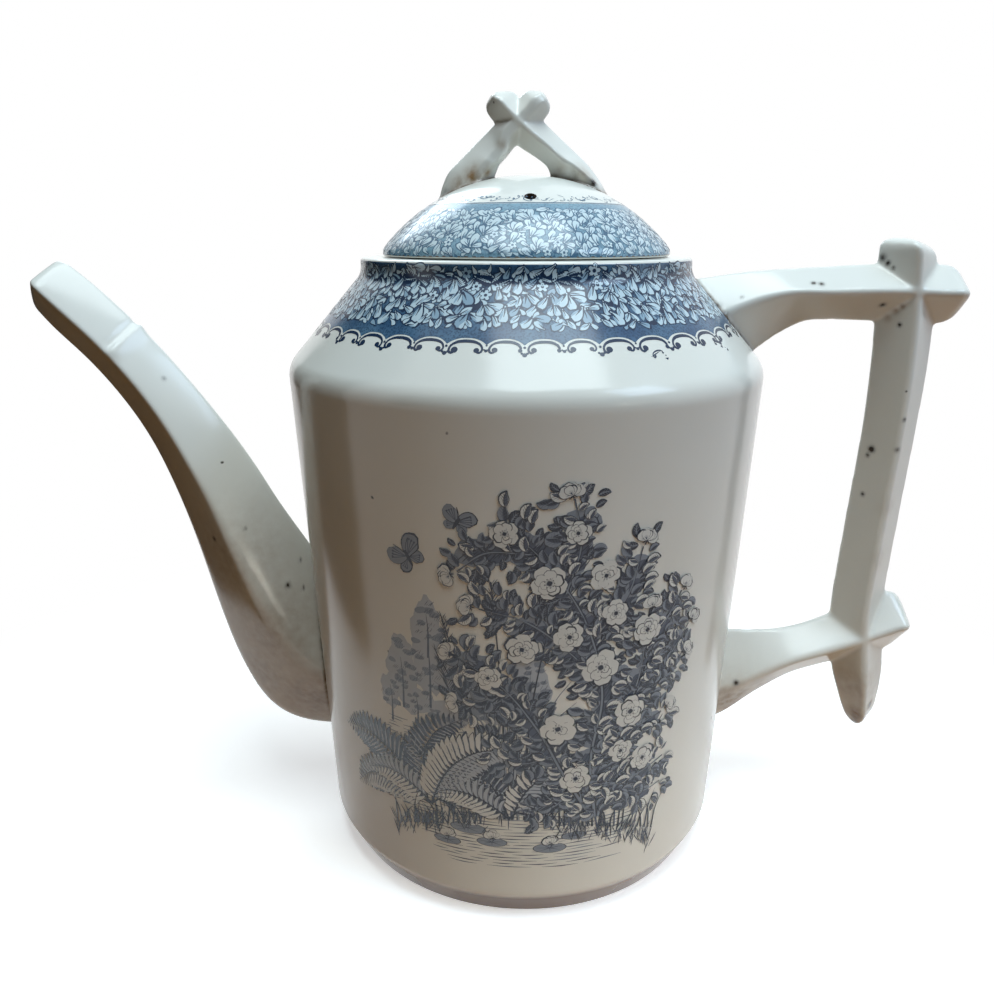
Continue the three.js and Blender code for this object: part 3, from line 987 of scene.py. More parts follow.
@dataclass
class Lid:
    """The lid: a dome with a lip, a vent and a flange that drops into the mouth."""

    radius: float = 38.6
    rim_height: float = 168.4
    lip: float = 1.4
    rise: float = 20.7
    thickness: float = 3.6
    flange_radius: float = 31.4
    flange_thickness: float = 3.1
    flange_depth: float = 12.0
    seat_gap: float = 0.3
    vent_radius: float = 1.5
    vent_at: float = 22.1
    shares: tuple = ((1, 0), (0.985, 0.06), (0.91, 0.225), (0.794, 0.43), (0.65, 0.635), (0.47, 0.82),
                     (0.24, 0.955), (0, 1))
    finish: Finish = GLAZE

    def dome(self, inset: float = 0.0) -> Array:
        """Gives the dome from its edge to its top.

        Args:
            inset: How far it is moved in.

        Returns:
            Radius and height for each point.
        """
        places = [(r * (self.radius - inset), self.rim_height + self.lip - inset + z * (self.rise - self.lip))
                  for r, z in self.shares]
        beyond = (-places[-2][0], places[-2][1])
        line = eased(evenly(through(places + [beyond], 400, (len(places) - 1) / len(places)), 90), 2.0)
        line[-1, 0] = 0
        return line

    def build(self) -> list[Object]:
        """Makes the lid and drills its slanted vent.

        Returns:
            The lid as the only piece.
        """
        vent_shade = self.flange_radius - self.flange_thickness
        ceiling = self.dome(self.thickness)
        ceiling = ceiling[ceiling[:, 0] < vent_shade - 2][::-1]
        foot, seat = self.rim_height - self.flange_depth, self.rim_height + self.seat_gap
        flange = Outline.rounded(
            ceiling[-1], (vent_shade, ceiling[-1][1] - 2.2, 2), (vent_shade, foot, 1.2), (self.flange_radius, foot, 1.2),
            (self.flange_radius, seat, 0.5), (self.radius - 0.2, seat, 0.5), self.dome()[1])
        outline = Outline(np.vstack([ceiling, flange.points[1:-1], self.dome()[1:]])).filled()
        lid = outline.turned("lid_glazed_dome", self.finish, 160)
        start = np.array([1.1, -self.vent_at - 8, self.rim_height + self.rise + 4])
        end = np.array([0.9, -self.vent_at + 8, self.rim_height])
        bored(lid, [start, end], (1, 0, 0), self.vent_radius, 24)
        # The faces inside the vent are marked, so that the glaze paints them dark as shade in the bore.
        at = corners_of(lid.data)
        off = np.linalg.norm(np.cross(at - start, (end - start) / np.linalg.norm(end - start)), axis=1)
        vent = (off < self.vent_radius + 0.05) & (at[:, 1] < 0) & (at[:, 2] > self.rim_height + 6)
        inside = [float(all(vent[i] for i in face.vertices))
                  for face in lid.data.polygons for _ in face.vertices]
        add_value(lid.data, "bored", np.array(inside), "CORNER")
        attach(lid, "lid")
        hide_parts("lid")
        return [lid]


@dataclass
class Knob(CrossedSticks):
    """The knob: two crossed sticks stuck on the dome. Their heights are taken from the dome's top."""

    half_width: float = 4.4
    half_depth: float = 5.0
    flats: tuple[float, ...] = (0.4, 1.1)
    voxel: float = 0.35
    fillet: float = 1.0
    sunk: float = 1.0
    right: tuple = (
        (-7.8, 20.3, -9.6, 19.1, 0), (-6.6, 20.4, -10.5, 17.7, 0), (-5, 20.4, -10.7, 16.2, 0),
        (-3.5, 20.2, -10.1, 14.8, 0), (-2, 18.8, -8.6, 13, 0), (0.6, 16.4, -5.6, 10.1, 0),
        (3.9, 13.5, -2.2, 7.2, 0), (8, 9.8, 2.66, 4.2, 0), (11.4, 6.8, 5.3, 2.2, 0),
        (16.4, 2.3, 6.4, 0, 0.35), (20.4, -2.9, 8, -2.2, 0.6), (22.4, -7, 10, -6, 0.6))
    left: tuple = (
        (-23.4, -7, -12, -6, -0.2), (-22.4, -3, -9.4, -2, -0.3), (-20.4, 1, -8.1, 0.4, -0.4),
        (-16.9, 4.3, -7.6, 1.6, -0.4), (-12.8, 8.3, -6.9, 2.8, -0.5), (-10.6, 10.3, -5.3, 4.4, -0.45),
        (-8.2, 12.6, -3.1, 7, -0.1), (-5.2, 15.4, 0.6, 10, 0), (-2.3, 18.2, 3.8, 12.9, 0),
        (-0.6, 20.1, 5.3, 14.6, 0), (1.2, 20.4, 6, 15.9, 0), (2.9, 20.4, 5.9, 17.4, 0),
        (3.6, 20.3, 5.1, 18.8, 0))
    flaws: tuple = ((17.6, -4.6, 186.9, 1.4, 1), (12, -4.8, 188.2, 1.2, 0.8), (7.6, -3.6, 189.4, 1.2, 0.7),
                    (-21.6, -3, 185.2, 1.1, 0.9))
    stain_and_shade_spots: tuple = (
        (-14, -4.6, 188.4, 3, 0.9), (-18.6, -4.2, 187, 2.4, 0.9), (-10, -4, 189.6, 2.2, 0.8),
        (14, -4.6, 188.4, 3, 0.6), (8, -4, 189.6, 2.4, 0.6), (-6.4, -4.6, 196.4, 1.4, 0.6),
        (-3, -4.4, 196.6, 1.6, 0.5), (-14, 4.6, 188.4, 3, 0.7))

    def build(self, lid: Lid) -> list[Object]:
        """Makes the knob.

        Args:
            lid: What it is stuck on.

        Returns:
            The knob as the only piece.
        """
        base = lid.rim_height + lid.rise
        sticks = [np.array(edges) + [0, base, 0, base, 0] for edges in (self.right, self.left)]
        made = self.luted("knob_crossed_sticks", sticks, Outline(lid.dome()))
        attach(made, "lid")
        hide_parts("knob_left_stick", "knob_right_stick")
        return [made]


class Tone(Enum):
    """The tones of the prints: a name, a colour and how speckled it is."""

    GROUND = ("cobalt_transfer_stippled_ground", "#33577a", 0.7)
    PALE_GROUND = ("cobalt_transfer_thin_stippled_ground", "#86abbd", 0.35)
    INK = ("cobalt_transfer_dark_line", "#141a2c", 0.0)
    MID = ("cobalt_transfer_middle_line", "#495163", 0.0)
    DEEP = ("cobalt_transfer_border_line", "#1e3450", 0.0)
    STEEL = ("cobalt_transfer_thin_line", "#4f7089", 0.0)
    SOFT = ("cobalt_transfer_pale_line", "#828a96", 0.0)
    WASH = ("cobalt_transfer_wash", "#b3b9c1", 0.0)
    PAPER = ("reserved_ware_under_glaze", "#dddeda", 0.0)
    LEAF = ("reserved_leaf_under_glaze", "#c3d8e3", 0.0)
    SHADE = ("reserved_leaf_shaded_under_glaze", "#8fadc2", 0.0)
    PALE_LEAF = ("reserved_pale_leaf_under_glaze", "#cfe1e8", 0.0)
    # Tea stain along the lid's lip, darkened as the painted shadow of the gap under the lid.
    STAIN = ("tea_stain_along_the_lip", "#5f4d3f", 0.0)

    def finish(self) -> Transfer:
        """Gives the finish of the tone."""
        name, colour, speckle = self.value
        return Transfer(name, colour, speckle=speckle)


class Flat(NamedTuple):
    """A flat shape in millimetres or in units of its own length: corners and faces, x right and y up."""

    points: Array
    faces: Faces

    @classmethod
    def strip(cls, spine: Rows, widths: Sequence[float], rows: int = 8, sides: int = 2,
              grow: float = 0.0) -> "Flat":
        """Makes a strip along a smooth spine.

        Args:
            spine: The stations of its middle line.
            widths: Its half widths, evenly spread along the spine.
            rows: Its faces along.
            sides: Its faces across.
            grow: How much is added all round, which gives it an outline when it lies under itself.

        Returns:
            The strip.
        """
        line = evenly(through(spine, 60), rows + 1)
        along = np.gradient(line, axis=0)
        along /= np.linalg.norm(along, axis=1, keepdims=True)
        line[0] -= along[0] * grow
        line[-1] += along[-1] * grow
        across = np.column_stack([-along[:, 1], along[:, 0]])
        half = np.interp(np.linspace(0, 1, rows + 1), np.linspace(0, 1, len(widths)), widths) + grow
        spread = (half[:, None] * np.linspace(-1, 1, sides + 1))[:, :, None]
        wide = sides + 1
        faces = [(a + 1, a, a + wide, a + wide + 1)
                 for r in range(rows) for a in range(r * wide, r * wide + sides)]
        return cls((line[:, None] + across[:, None] * spread).reshape(-1, 2), faces)

    @classmethod
    def round(cls, radius: float, place: Sequence[float] = (0, 0), lobes: int = 0, depth: float = 0.0,
              sides: int = 12, grow: float = 0.0) -> "Flat":
        """Makes a disc, or a flower with lobes.

        Args:
            radius: Its radius.
            place: Its middle.
            lobes: How many lobes go round.
            depth: How deep the lobes are cut, as a share of the radius.
            sides: Its corners.
            grow: How much is added all round.

        Returns:
            The shape.
        """
        angle = np.linspace(0, 2 * np.pi, sides, endpoint=False)
        reach = radius * (1 - depth * (0.5 - 0.5 * np.cos(lobes * angle)) ** 2) + grow
        rim = np.column_stack([reach * np.cos(angle), reach * np.sin(angle)])
        pairs = [(i + 1, (i + 1) % sides + 1) for i in range(sides)]
        faces = [(0, a, b) for a, b in pairs] + [(a, a + sides, b + sides, b) for a, b in pairs]
        return cls(np.vstack([[[0, 0]], rim * 0.5, rim]) + place, faces)


@dataclass
class Sheet:
    """A flat transfer sheet: shapes and stamps in layers of one tone each, from the lowest up."""

    stamps: dict[Tone, list] = field(default_factory=dict)
    drawn: dict[Tone, list] = field(default_factory=dict)

    def stamp(self, tone: Tone, kind: int, x: float, y: float, turn: float, size: float, lift: float) -> None:
        """Notes a stamp of a stock shape: its place, turn in radians, size and layer."""
        self.stamps.setdefault(tone, []).append((x, y, turn, size, kind, lift))

    def draw(self, tone: Tone, shape: Flat, lift: float, stretched: bool = False) -> None:
        """Draws a shape that occurs once, and stretches it or not as the sheet narrows with the ware."""
        base = shape.points if stretched else np.tile(shape.points.mean(0), (len(shape.points), 1))
        self.drawn.setdefault(tone, []).append((*shape, np.full(len(base), lift), base))


@dataclass
class Press:
    """Prints sheets round a turned surface."""

    outline: Outline
    zero: float
    unit_radius: float
    level: float = 0.008
    first: float = 0.035
    jitter: float = 0.06
    seed: int = 7

    def tree(self) -> NodeTree:
        """Builds the geometry tree that sets stock shapes on points, and gives them their finish.

        Returns:
            The tree, with inputs for the stock, the finish, the jitter and the seed.
        """
        tree = bpy.data.node_groups.get("set_stamps")
        if tree:
            return tree
        tree = bpy.data.node_groups.new("set_stamps", "GeometryNodeTree")
        for name, kind in (("Points", "Geometry"), ("Stock", "Collection"), ("Finish", "Material"),
                           ("Jitter", "Float"), ("Seed", "Int"), ("Sheet", "Geometry")):
            way = "OUTPUT" if name == "Sheet" else "INPUT"
            tree.interface.new_socket(name, in_out=way, socket_type=f"NodeSocket{kind}")
        add = partial(add_node, tree)
        given = add("NodeGroupInput").node.outputs
        turn, size, kind = (add("GeometryNodeInputNamedAttribute", {"Name": name}, data_type=form)
                            for name, form in (("turn", "FLOAT"), ("size", "FLOAT"), ("kind", "INT")))
        stock = add("GeometryNodeCollectionInfo", {"Collection": given["Stock"], "Separate Children": True,
                                                   "Reset Children": True})
        low, high = (add("Math", {0: 1.0, 1: given["Jitter"]}, operation=way) for way in ("SUBTRACT", "ADD"))
        vary = add("FunctionNodeRandomValue", {2: low, 3: high, "Seed": given["Seed"]}, 1, data_type="FLOAT")
        size = add("Math", {0: size, 1: vary}, operation="MULTIPLY")
        scale, rotation = add("CombineXYZ", {"X": size, "Y": size, "Z": 1.0}), add("CombineXYZ", {"Z": turn})
        placed = add("GeometryNodeInstanceOnPoints", {
            "Points": given["Points"], "Instance": stock, "Pick Instance": True, "Instance Index": kind,
            "Rotation": rotation, "Scale": scale})
        real = add("GeometryNodeRealizeInstances", {"Geometry": placed})
        dressed = add("GeometryNodeSetMaterial", {"Geometry": real, "Material": given["Finish"]})
        add("NodeGroupOutput", {"Sheet": dressed})
        return tree

    def stamped(self, rows: Array, stock: Sequence[Flat],
                finish: Finish) -> tuple[Array, Faces, Array, Array]:
        """Sets the stamps of one tone on a flat sheet.

        Args:
            rows: x, y, turn, size, kind and lift for each.
            stock: The stock shapes.
            finish: Their finish.

        Returns:
            Flat corners, faces, and for each corner its lift and its stamp's place.
        """
        shelf = bpy.data.collections.new("stock_shapes")
        for i, shape in enumerate(stock):
            mesh = bpy.data.meshes.new(f"stock_{i:02d}")
            mesh.from_pydata([(x, y, 0) for x, y in shape.points], [], shape.faces)
            shelf.objects.link(bpy.data.objects.new(f"stock_{i:02d}", mesh))
        mesh = bpy.data.meshes.new("stamp_places")
        mesh.from_pydata([(x, y, 0) for x, y in rows[:, :2]], [], [])
        for name, column in (("turn", 2), ("size", 3), ("lift", 5), ("base_x", 0), ("base_y", 1)):
            add_value(mesh, name, rows[:, column])
        mesh.attributes.new("kind", "INT", "POINT").data.foreach_set("value", rows[:, 4].astype(np.int32))
        holder = linked("stamp_places", mesh)
        modifier = holder.modifiers.new("set_stamps", "NODES")
        modifier.node_group = self.tree()
        values = {"Stock": shelf, "Finish": finish.material(), "Jitter": self.jitter, "Seed": self.seed}
        for item in modifier.node_group.interface.items_tree:
            if item.name in values:
                modifier[item.identifier] = values[item.name]
        cooked(holder)
        made = holder.data
        lift, *base = (fetched(made.attributes[name].data, "value", 1, np.float32)[:, 0]
                       for name in ("lift", "base_x", "base_y"))
        flat, faces = fetched(made.vertices, "co", 3)[:, :2], [tuple(face.vertices) for face in made.polygons]
        for one in (holder, *shelf.objects):
            bpy.data.objects.remove(one)
        bpy.data.collections.remove(shelf)
        return flat, faces, lift, np.column_stack(base)

    def wrapped(self, flat: Array, lift: Array, base: Array, facing: float) -> tuple[Array, Array]:
        """Lays flat corners on the turned surface, each shape in its true size.

        Args:
            flat: Corners in millimetres: x round it at the unit radius, y along the outline from its zero.
            lift: Each corner's layer.
            base: Each corner's shape's own place.
            facing: Where x is 0, in radians from the +X axis.

        Returns:
            The corners in millimetres from the pot's axis and the outward directions.
        """
        line = self.outline.points
        run = run_of(line)
        ways = np.gradient(line, run, axis=0)
        ways /= np.linalg.norm(ways, axis=1, keepdims=True)
        own = np.interp(self.zero + base[:, 1], run, line[:, 0])
        angle = facing + base[:, 0] / self.unit_radius + (flat[:, 0] - base[:, 0]) / own
        radius, height, way_r, way_z = columns(self.zero + flat[:, 1], run, np.hstack([line, ways])).T
        reach = self.first + self.level * lift
        cos, sin = np.cos(angle), np.sin(angle)
        radius, height = radius + way_z * reach, height - way_r * reach
        return (np.column_stack([radius * cos, radius * sin, height]),
                np.column_stack([way_z * cos, way_z * sin, -way_r]))

    def print(self, name: str, sheet: Sheet, stock: Sequence[Flat], body: str, slot: str,
              facing: float) -> list[Object]:
        """Prints a sheet, one piece for each tone.

        Args:
            name: What the pieces' names start with.
            sheet: What is printed.
            stock: The shapes that its stamps use.
            body: The body that carries the print.
            slot: Not used.
            facing: Where the sheet's middle goes.

        Returns:
            The pieces.
        """
        made = []
        for tone in Tone:
            parts = []
            if tone in sheet.stamps:
                parts.append(self.stamped(np.array(sheet.stamps[tone], float), stock, tone.finish()))
            parts += sheet.drawn.get(tone, [])
            if not parts:
                continue
            flat, faces = joined([part[:2] for part in parts])
            lift, base = np.concatenate([part[2] for part in parts]), np.vstack([part[3] for part in parts])
            points, normals = self.wrapped(flat, lift, base, facing)
            one = piece(f"{name}_{tone.name.lower()}", points, faces, tone.finish())
            one.data.normals_split_custom_set_from_vertices(normals.tolist())
            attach(one, body)
            made.append(one)
        return made


# The stock shapes that stamps are taken from. A leaf's unit is its length.
Stock = IntEnum("Stock", [
    "WEDGE", "WEDGE_LINE", "CURVED", "CURVED_LINE", "OVAL", "OVAL_LINE", "BLOSSOM", "BLOSSOM_LINE", "DOT",
    "VEIN", "SHADOW", "SCROLL", "SCROLL_SMALL", "TREFOIL", "LEAFLET", "LEAFLET_LINE", "LEAFLET_VEINS",
    "LEAFLET_HALF", "PETAL", "PETAL_LINE", "PETAL_VEINS", "FROND", "WING", "WING_LINE", "WING_MARKS", "HATCH",
    "FROND_LINE",
], start=0)


def stock_shapes() -> list[Flat]:
    """Makes the stock shapes.

    Returns:
        One for each name in the list above.
    """
    strip, disc = Flat.strip, Flat.round
    wedge = [0.03, 0.045, 0.08, 0.125, 0.17, 0.205, 0.225, 0.225, 0.15]
    oval = [0.03, 0.06, 0.15, 0.21, 0.235, 0.225, 0.19, 0.12, 0.03]
    serrate = [0.02, 0.15, 0.2, 0.26, 0.265, 0.31, 0.29, 0.3, 0.25, 0.23, 0.16, 0.1, 0.0]
    petal = [0.06, 0.15, 0.27, 0.37, 0.43, 0.46, 0.45, 0.38, 0.24]
    wing = [0.05, 0.16, 0.26, 0.33, 0.37, 0.38, 0.34, 0.24, 0.08]
    frond = [0.02, 0.1, 0.13, 0.13, 0.11, 0.08, 0.0]
    straight, bent = [(0, 0), (0.5, 0), (1, 0)], [(0, 0), (0.35, 0.1), (0.7, 0.12), (1, 0.02)]
    arch = [(-2.35, -2.45), (-2.75, -2.95), (-3.3, -2.75), (-3.5, -1.95), (-3.05, -0.95), (-1.9, -0.25),
            (0, 0), (1.9, -0.25), (3.0, -0.95), (3.4, -1.9), (3.15, -2.6), (2.7, -2.8), (2.35, -2.4)]
    stroke = [0.3, 0.3, 0.24, 0.25, 0.32, 0.38, 0.38, 0.37, 0.33, 0.26, 0.22, 0.24, 0.28]
    half = [(0.04, -0.03), (0.35, -0.03), (0.7, 0.02), (0.97, 0.02)]
    ribs = [((s, 0.1 * math.sin(3 * s) + 0.01), (s + 0.22, 0.1 * math.sin(3 * s) + side * w * 0.82))
            for s, w in ((0.14, 0.2), (0.32, 0.27), (0.5, 0.27), (0.66, 0.2)) for side in (-1, 1)]
    return [
        strip(straight, wedge, 7), strip(straight, wedge, 7, grow=0.085),
        strip(bent, wedge, 8), strip(bent, wedge, 8, grow=0.085),
        strip(straight, oval, 7), strip(straight, oval, 7, grow=0.09),
        disc(0.5, lobes=5, depth=0.5, sides=20), disc(0.5, lobes=5, depth=0.45, sides=20, grow=0.08),
        disc(0.5, sides=9), strip([(0.1, 0), (0.4, 0.02), (0.72, 0)], [0.05, 0.035, 0.012], 4, 1),
        strip([(0.3, -0.06), (0.6, -0.12), (0.88, -0.16)], [0.02, 0.07, 0.03], 4, 1),
        Flat(*joined([strip(arch, stroke, 34, 1), disc(0.74, (-2.3, -2.2), sides=10),
                      disc(0.6, (2.25, -2.2), sides=10)])),
        Flat(*joined([strip(arch[:10], stroke[:10], 26, 1), disc(0.66, (-2.3, -2.2), sides=10),
                      disc(0.5, (3.2, -2.3), sides=10)])),
        Flat(*joined([disc(0.34, (0, -1.5), sides=8), disc(0.55, (0, -3.45), sides=9),
                      disc(0.3, (-0.6, -3.05), sides=8), disc(0.3, (0.6, -3.05), sides=8)])),
        strip(bent, serrate, 12), strip(bent, serrate, 12, grow=0.045),
        Flat(*joined([strip([(0.02, 0), (0.35, 0.1), (0.7, 0.12), (0.96, 0.03)], [0.03, 0.024, 0.012], 4, 1)]
                     + [strip(rib, [0.02, 0.006], 1, 1) for rib in ribs])),
        strip(half, [0.01, 0.1, 0.13, 0.13, 0.1, 0.05, 0.0], 6, 1),
        strip(straight, petal, 7, 3), strip(straight, petal, 7, 3, grow=0.04),
        Flat(*joined([strip([(0.06, 0), (0.3, 0.12 * a), (0.42 + 0.2 * (1 - abs(a)), 0.27 * a)],
                            [0.024, 0.018, 0.004], 3, 1) for a in (-1, -0.55, -0.12, 0.3, 0.75, 1.05)])),
        strip(bent, frond, 5, 1), strip(bent, wing, 8, 4), strip(bent, wing, 8, 4, grow=0.04),
        Flat(*joined([strip([(0.08, 0.02), (0.4, 0.06 + 0.12 * a), (0.82, 0.08 + 0.26 * a)],
                            [0.018, 0.018, 0.03], 5, 1) for a in (-1, -0.4, 0.25, 0.9)]
                     + [disc(0.055, (0.78, 0.1 + 0.2 * a), sides=8) for a in (-0.6, 0.1, 0.75)])),
        strip(straight, [0.004, 0.03, 0.035, 0.03, 0.004], 4, 1), strip(bent, frond, 5, 1, grow=0.035),
    ]


@dataclass
class LeafBorder:
    """A border of pale leaves on a stippled blue ground. Scrolls hang from its edge, away from its top."""

    name: str
    top: float
    edge: float
    pitch: float
    scale: float
    unit_radius: float
    repeats: int = 4
    flip: int = 1
    clear: float = 2.6
    ground_tone: Tone = Tone.GROUND
    line_tone: Tone = Tone.DEEP
    leaf_tones: tuple[Tone, Tone] = (Tone.LEAF, Tone.SHADE)
    scrolled: bool = True
    strays: tuple = ()
    seed: int = 5

    def __post_init__(self) -> None:
        """Works out its size and its scrolls' places, and takes a blank sheet."""
        self.around, self.depth = 2 * math.pi * self.unit_radius, abs(self.top - self.edge)
        self.sheet, self.scrolls, self.taken = Sheet(), self.scroll_places(), np.empty((0, 3))

    def scroll_places(self) -> list[tuple[float, float]]:
        """Gives each scroll's middle and width. They vary a little, as an engraver's do.

        Returns:
            A pair for each.
        """
        count = round(self.around / self.pitch)
        widths = 1 + 0.07 * np.random.default_rng(self.seed).standard_normal(count).clip(-1.4, 1.4)
        widths *= self.around / widths.sum()
        ends = np.concatenate([[0], np.cumsum(widths)])
        return [((a + b) / 2, b - a) for a, b in zip(ends, ends[1:])]

    def drawn(self) -> Sheet:
        """Draws the whole border.

        Returns:
            The flat sheet.
        """
        self.ground()
        self.leaves()
        (self.hang_scrolls if self.scrolled else self.fragments)()
        for x, y, kind, turn, size in self.strays:
            self.sheet.stamp(Tone.DEEP, kind, x, y, turn, size, 1)
        return self.sheet

    def ground(self) -> None:
        """Draws the ground, whose edge follows the scrolls at a little distance."""
        drops = np.concatenate([np.arange(0, 6.5, 0.6), np.arange(7, self.depth, 1.8), [self.depth]])
        shares = 1 - drops / self.depth
        rows, points = len(shares), []
        for middle, width in self.scrolls:
            for x in np.linspace(-0.5, 0.5, 12, endpoint=False):
                dip = (0.82 - 1.7 * abs(2 * x) ** 2.6) * self.scale * self.scrolled
                low = self.edge + self.flip * dip
                points += [(middle + x * width, low + (self.top - low) * s) for s in shares[::-1]]
        last = len(points)
        points += [(x + self.around, y) for x, y in points[:rows]]
        faces = [(a, a + rows, a + rows + 1, a + 1)[:: self.flip]
                 for c in range(0, last, rows) for a in range(c, c + rows - 1)]
        self.sheet.draw(self.ground_tone, Flat(np.array(points), faces), 0, stretched=True)

    def hang_scrolls(self) -> None:
        """Sets the row of scrolls with a three-dot pendant between each two."""
        for i, (x, width) in enumerate(self.scrolls):
            kind = Stock.SCROLL if i % 3 else Stock.SCROLL_SMALL
            hang = 1.0 if i % 2 else 0.72
            self.sheet.stamp(Tone.DEEP, kind, x, self.edge, 0, self.scale * width / self.pitch * 1.02, 1)
            self.sheet.stamp(Tone.DEEP, Stock.TREFOIL, x + width / 2, self.edge, 0, self.scale * hang, 1)

    def fragments(self) -> None:
        """Rules a line past the ground and a dark one at the lip, and scatters small pieces of scroll."""
        rng, count = np.random.default_rng(self.seed + 1), 120
        # The line at the lip is tea stain and painted shadow of the gap between the lid and the rim.
        for tone, y, half in ((Tone.STEEL, self.edge - self.flip * 0.35, 0.16),
                              (Tone.STAIN, self.top + self.flip * 0.02, 0.2)):
            points = [(x, y + s * half) for x in np.linspace(0, self.around, count + 1) for s in (-1, 1)]
            faces = [(i, i + 2, i + 3, i + 1) for i in range(0, 2 * count, 2)]
            self.sheet.draw(tone, Flat(np.array(points), faces), 1, stretched=True)
        x = 0.0
        while x < self.around:
            kind = rng.choice([Stock.SCROLL, Stock.TREFOIL, Stock.SCROLL_SMALL, Stock.HATCH])
            size = 2.0 if kind == Stock.HATCH else rng.uniform(0.2, 0.36)
            y = self.edge - self.flip * rng.uniform(1.0, 2.9)
            self.sheet.stamp(Tone.STEEL, kind, x, y, rng.uniform(-0.9, 0.9) + math.pi, size, 1)
            x += rng.uniform(1.2, 2.4) * self.scale

    def fits(self, x: float, y: float, turn: float, length: float, wide: float, slack: float) -> bool:
        """Tells whether a leaf fits, and if it does takes its place.

        Args:
            x: Its foot across.
            y: Its foot up.
            turn: Its direction.
            length: Its length.
            wide: Half its width as a share of its length.
            slack: How much of the room between two leaves has to be free.

        Returns:
            Whether it fits.
        """
        own = np.array([(x + math.cos(turn) * s * length, y + math.sin(turn) * s * length, r * wide * length)
                        for s, r in ((0.3, 0.5), (0.55, 0.85), (0.8, 1.0), (0.97, 0.6))])
        if (own[:, 1] + own[:, 2] > self.depth - 0.1).any() or (own[:, 1] - own[:, 2] < self.clear).any():
            return False
        gap = np.hypot(*(own[:, None, :2] - self.taken[None, :, :2]).T).T
        if (gap < (own[:, None, 2] + self.taken[None, :, 2]) * slack).any():
            return False
        period = self.around / self.repeats
        self.taken = np.vstack([self.taken, *(own + [shift, 0, 0] for shift in (-period, 0, period))])
        return True

    def leaves(self) -> None:
        """Packs one repeat with leaves: drooping sprays, then smaller leaves in the gaps. Copies it round."""
        rng, scale, depth = np.random.default_rng(self.seed), self.scale, self.depth
        period = self.around / self.repeats
        stamps = []
        for step in range(90):
            x, y = rng.uniform(0, period), rng.uniform(depth * 0.6, depth - 0.6)
            size = scale * rng.uniform(2.4, 3.1)
            if step < 9 and self.fits(x - size / 2, y, 0.0, size, 0.36, 0.9):
                stamps.append((x, y, rng.uniform(0, 6), size, Stock.BLOSSOM))
        for y_row, shift, pitch in ((3.4, 0.5, 5.4), (6.6, 0.0, 5.8), (9.8, 0.4, 5.6), (12.2, 0.1, 6.4)):
            count = round(period / (pitch * scale))
            for i in range(count):
                x = (i + shift + rng.uniform(-0.24, 0.24)) * period / count
                y = depth - (y_row + rng.uniform(-1.2, 1.2)) * scale
                lean = rng.uniform(-0.7, 0.7)
                for turn in (-1.57, -0.95, -2.2, -0.2, -2.95)[: rng.integers(2, 6)]:
                    way = turn + lean + rng.uniform(-0.16, 0.16)
                    length = scale * rng.uniform(3.0, 4.6)
                    if self.fits(x, y, way, length, 0.22, 0.84):
                        kind = rng.choice([Stock.WEDGE, Stock.CURVED, Stock.WEDGE])
                        stamps.append((x, y, way, length, kind))
        for step in range(3600):
            x, y = rng.uniform(0, period), rng.uniform(self.clear, depth)
            way = rng.uniform(-2.7, -0.4) if rng.random() < 0.7 else rng.uniform(-3.1, 3.1)
            length = scale * (rng.uniform(2.7, 3.9) if step < 1500 else rng.uniform(1.6, 2.6))
            if self.fits(x, y, way, length, 0.22, 0.86):
                stamps.append((x, y, way, length, rng.choice([Stock.OVAL, Stock.WEDGE, Stock.CURVED])))
        LOG.info("%s: %d leaves to a repeat", self.name, len(stamps))
        dark = [(rng.uniform(0, period), rng.uniform(self.clear + 3, depth - 0.4), rng.uniform(-2.3, -0.8),
                 scale * rng.uniform(2.0, 3.4), rng.choice([Stock.OVAL, Stock.WEDGE, Stock.CURVED]))
                for _ in range(int(period * depth / 9))]
        line = self.line_tone
        for copy in range(self.repeats):
            for x, y, turn, length, kind in dark:
                self.sheet.stamp(line, kind, x + copy * period, self.edge + self.flip * y, turn, length, 1)
            for i, (x, y, turn, length, kind) in enumerate(stamps):
                coats = [(line, kind + 1, 1, 0), (self.leaf_tones[(i * 5) % 7 == 0], kind, 1, 0.8)]
                if kind == Stock.BLOSSOM:
                    coats.append((line, Stock.DOT, 0.3, 1.6))
                elif length > 2.4 * scale:
                    coats += [(line, Stock.VEIN, 1, 1.4), (self.leaf_tones[1], Stock.SHADOW, 1, 1.2)]
                for tone, shape, share, rise in coats:
                    self.sheet.stamp(tone, shape, x + copy * period, self.edge + self.flip * y,
                                     turn * self.flip, length * share, 2 + (i * 7) % 5 * 1.6 + rise)


PETAL_COATS = ((Tone.INK, Stock.PETAL_LINE, 0), (Tone.PAPER, Stock.PETAL, 0.25),
               (Tone.MID, Stock.PETAL_VEINS, 0.5))
WING_COATS = ((Tone.INK, Stock.WING_LINE, 0), (Tone.SOFT, Stock.WING, 0.4), (Tone.MID, Stock.WING_MARKS, 0.7))
# The rose's leaves from the back to the front: dark ones, ones between, and pale ones.
LEAF_COATS = (
    ((Tone.INK, Stock.LEAFLET, 0), (Tone.SOFT, Stock.LEAFLET_VEINS, 0.5)),
    ((Tone.INK, Stock.LEAFLET_LINE, 0), (Tone.SOFT, Stock.LEAFLET, 0.4), (Tone.INK, Stock.LEAFLET_HALF, 0.7),
     (Tone.MID, Stock.LEAFLET_VEINS, 1)),
    ((Tone.INK, Stock.LEAFLET_LINE, 0), (Tone.PAPER, Stock.LEAFLET, 0.4), (Tone.MID, Stock.LEAFLET_HALF, 0.7),
     (Tone.INK, Stock.LEAFLET_VEINS, 1)),
)


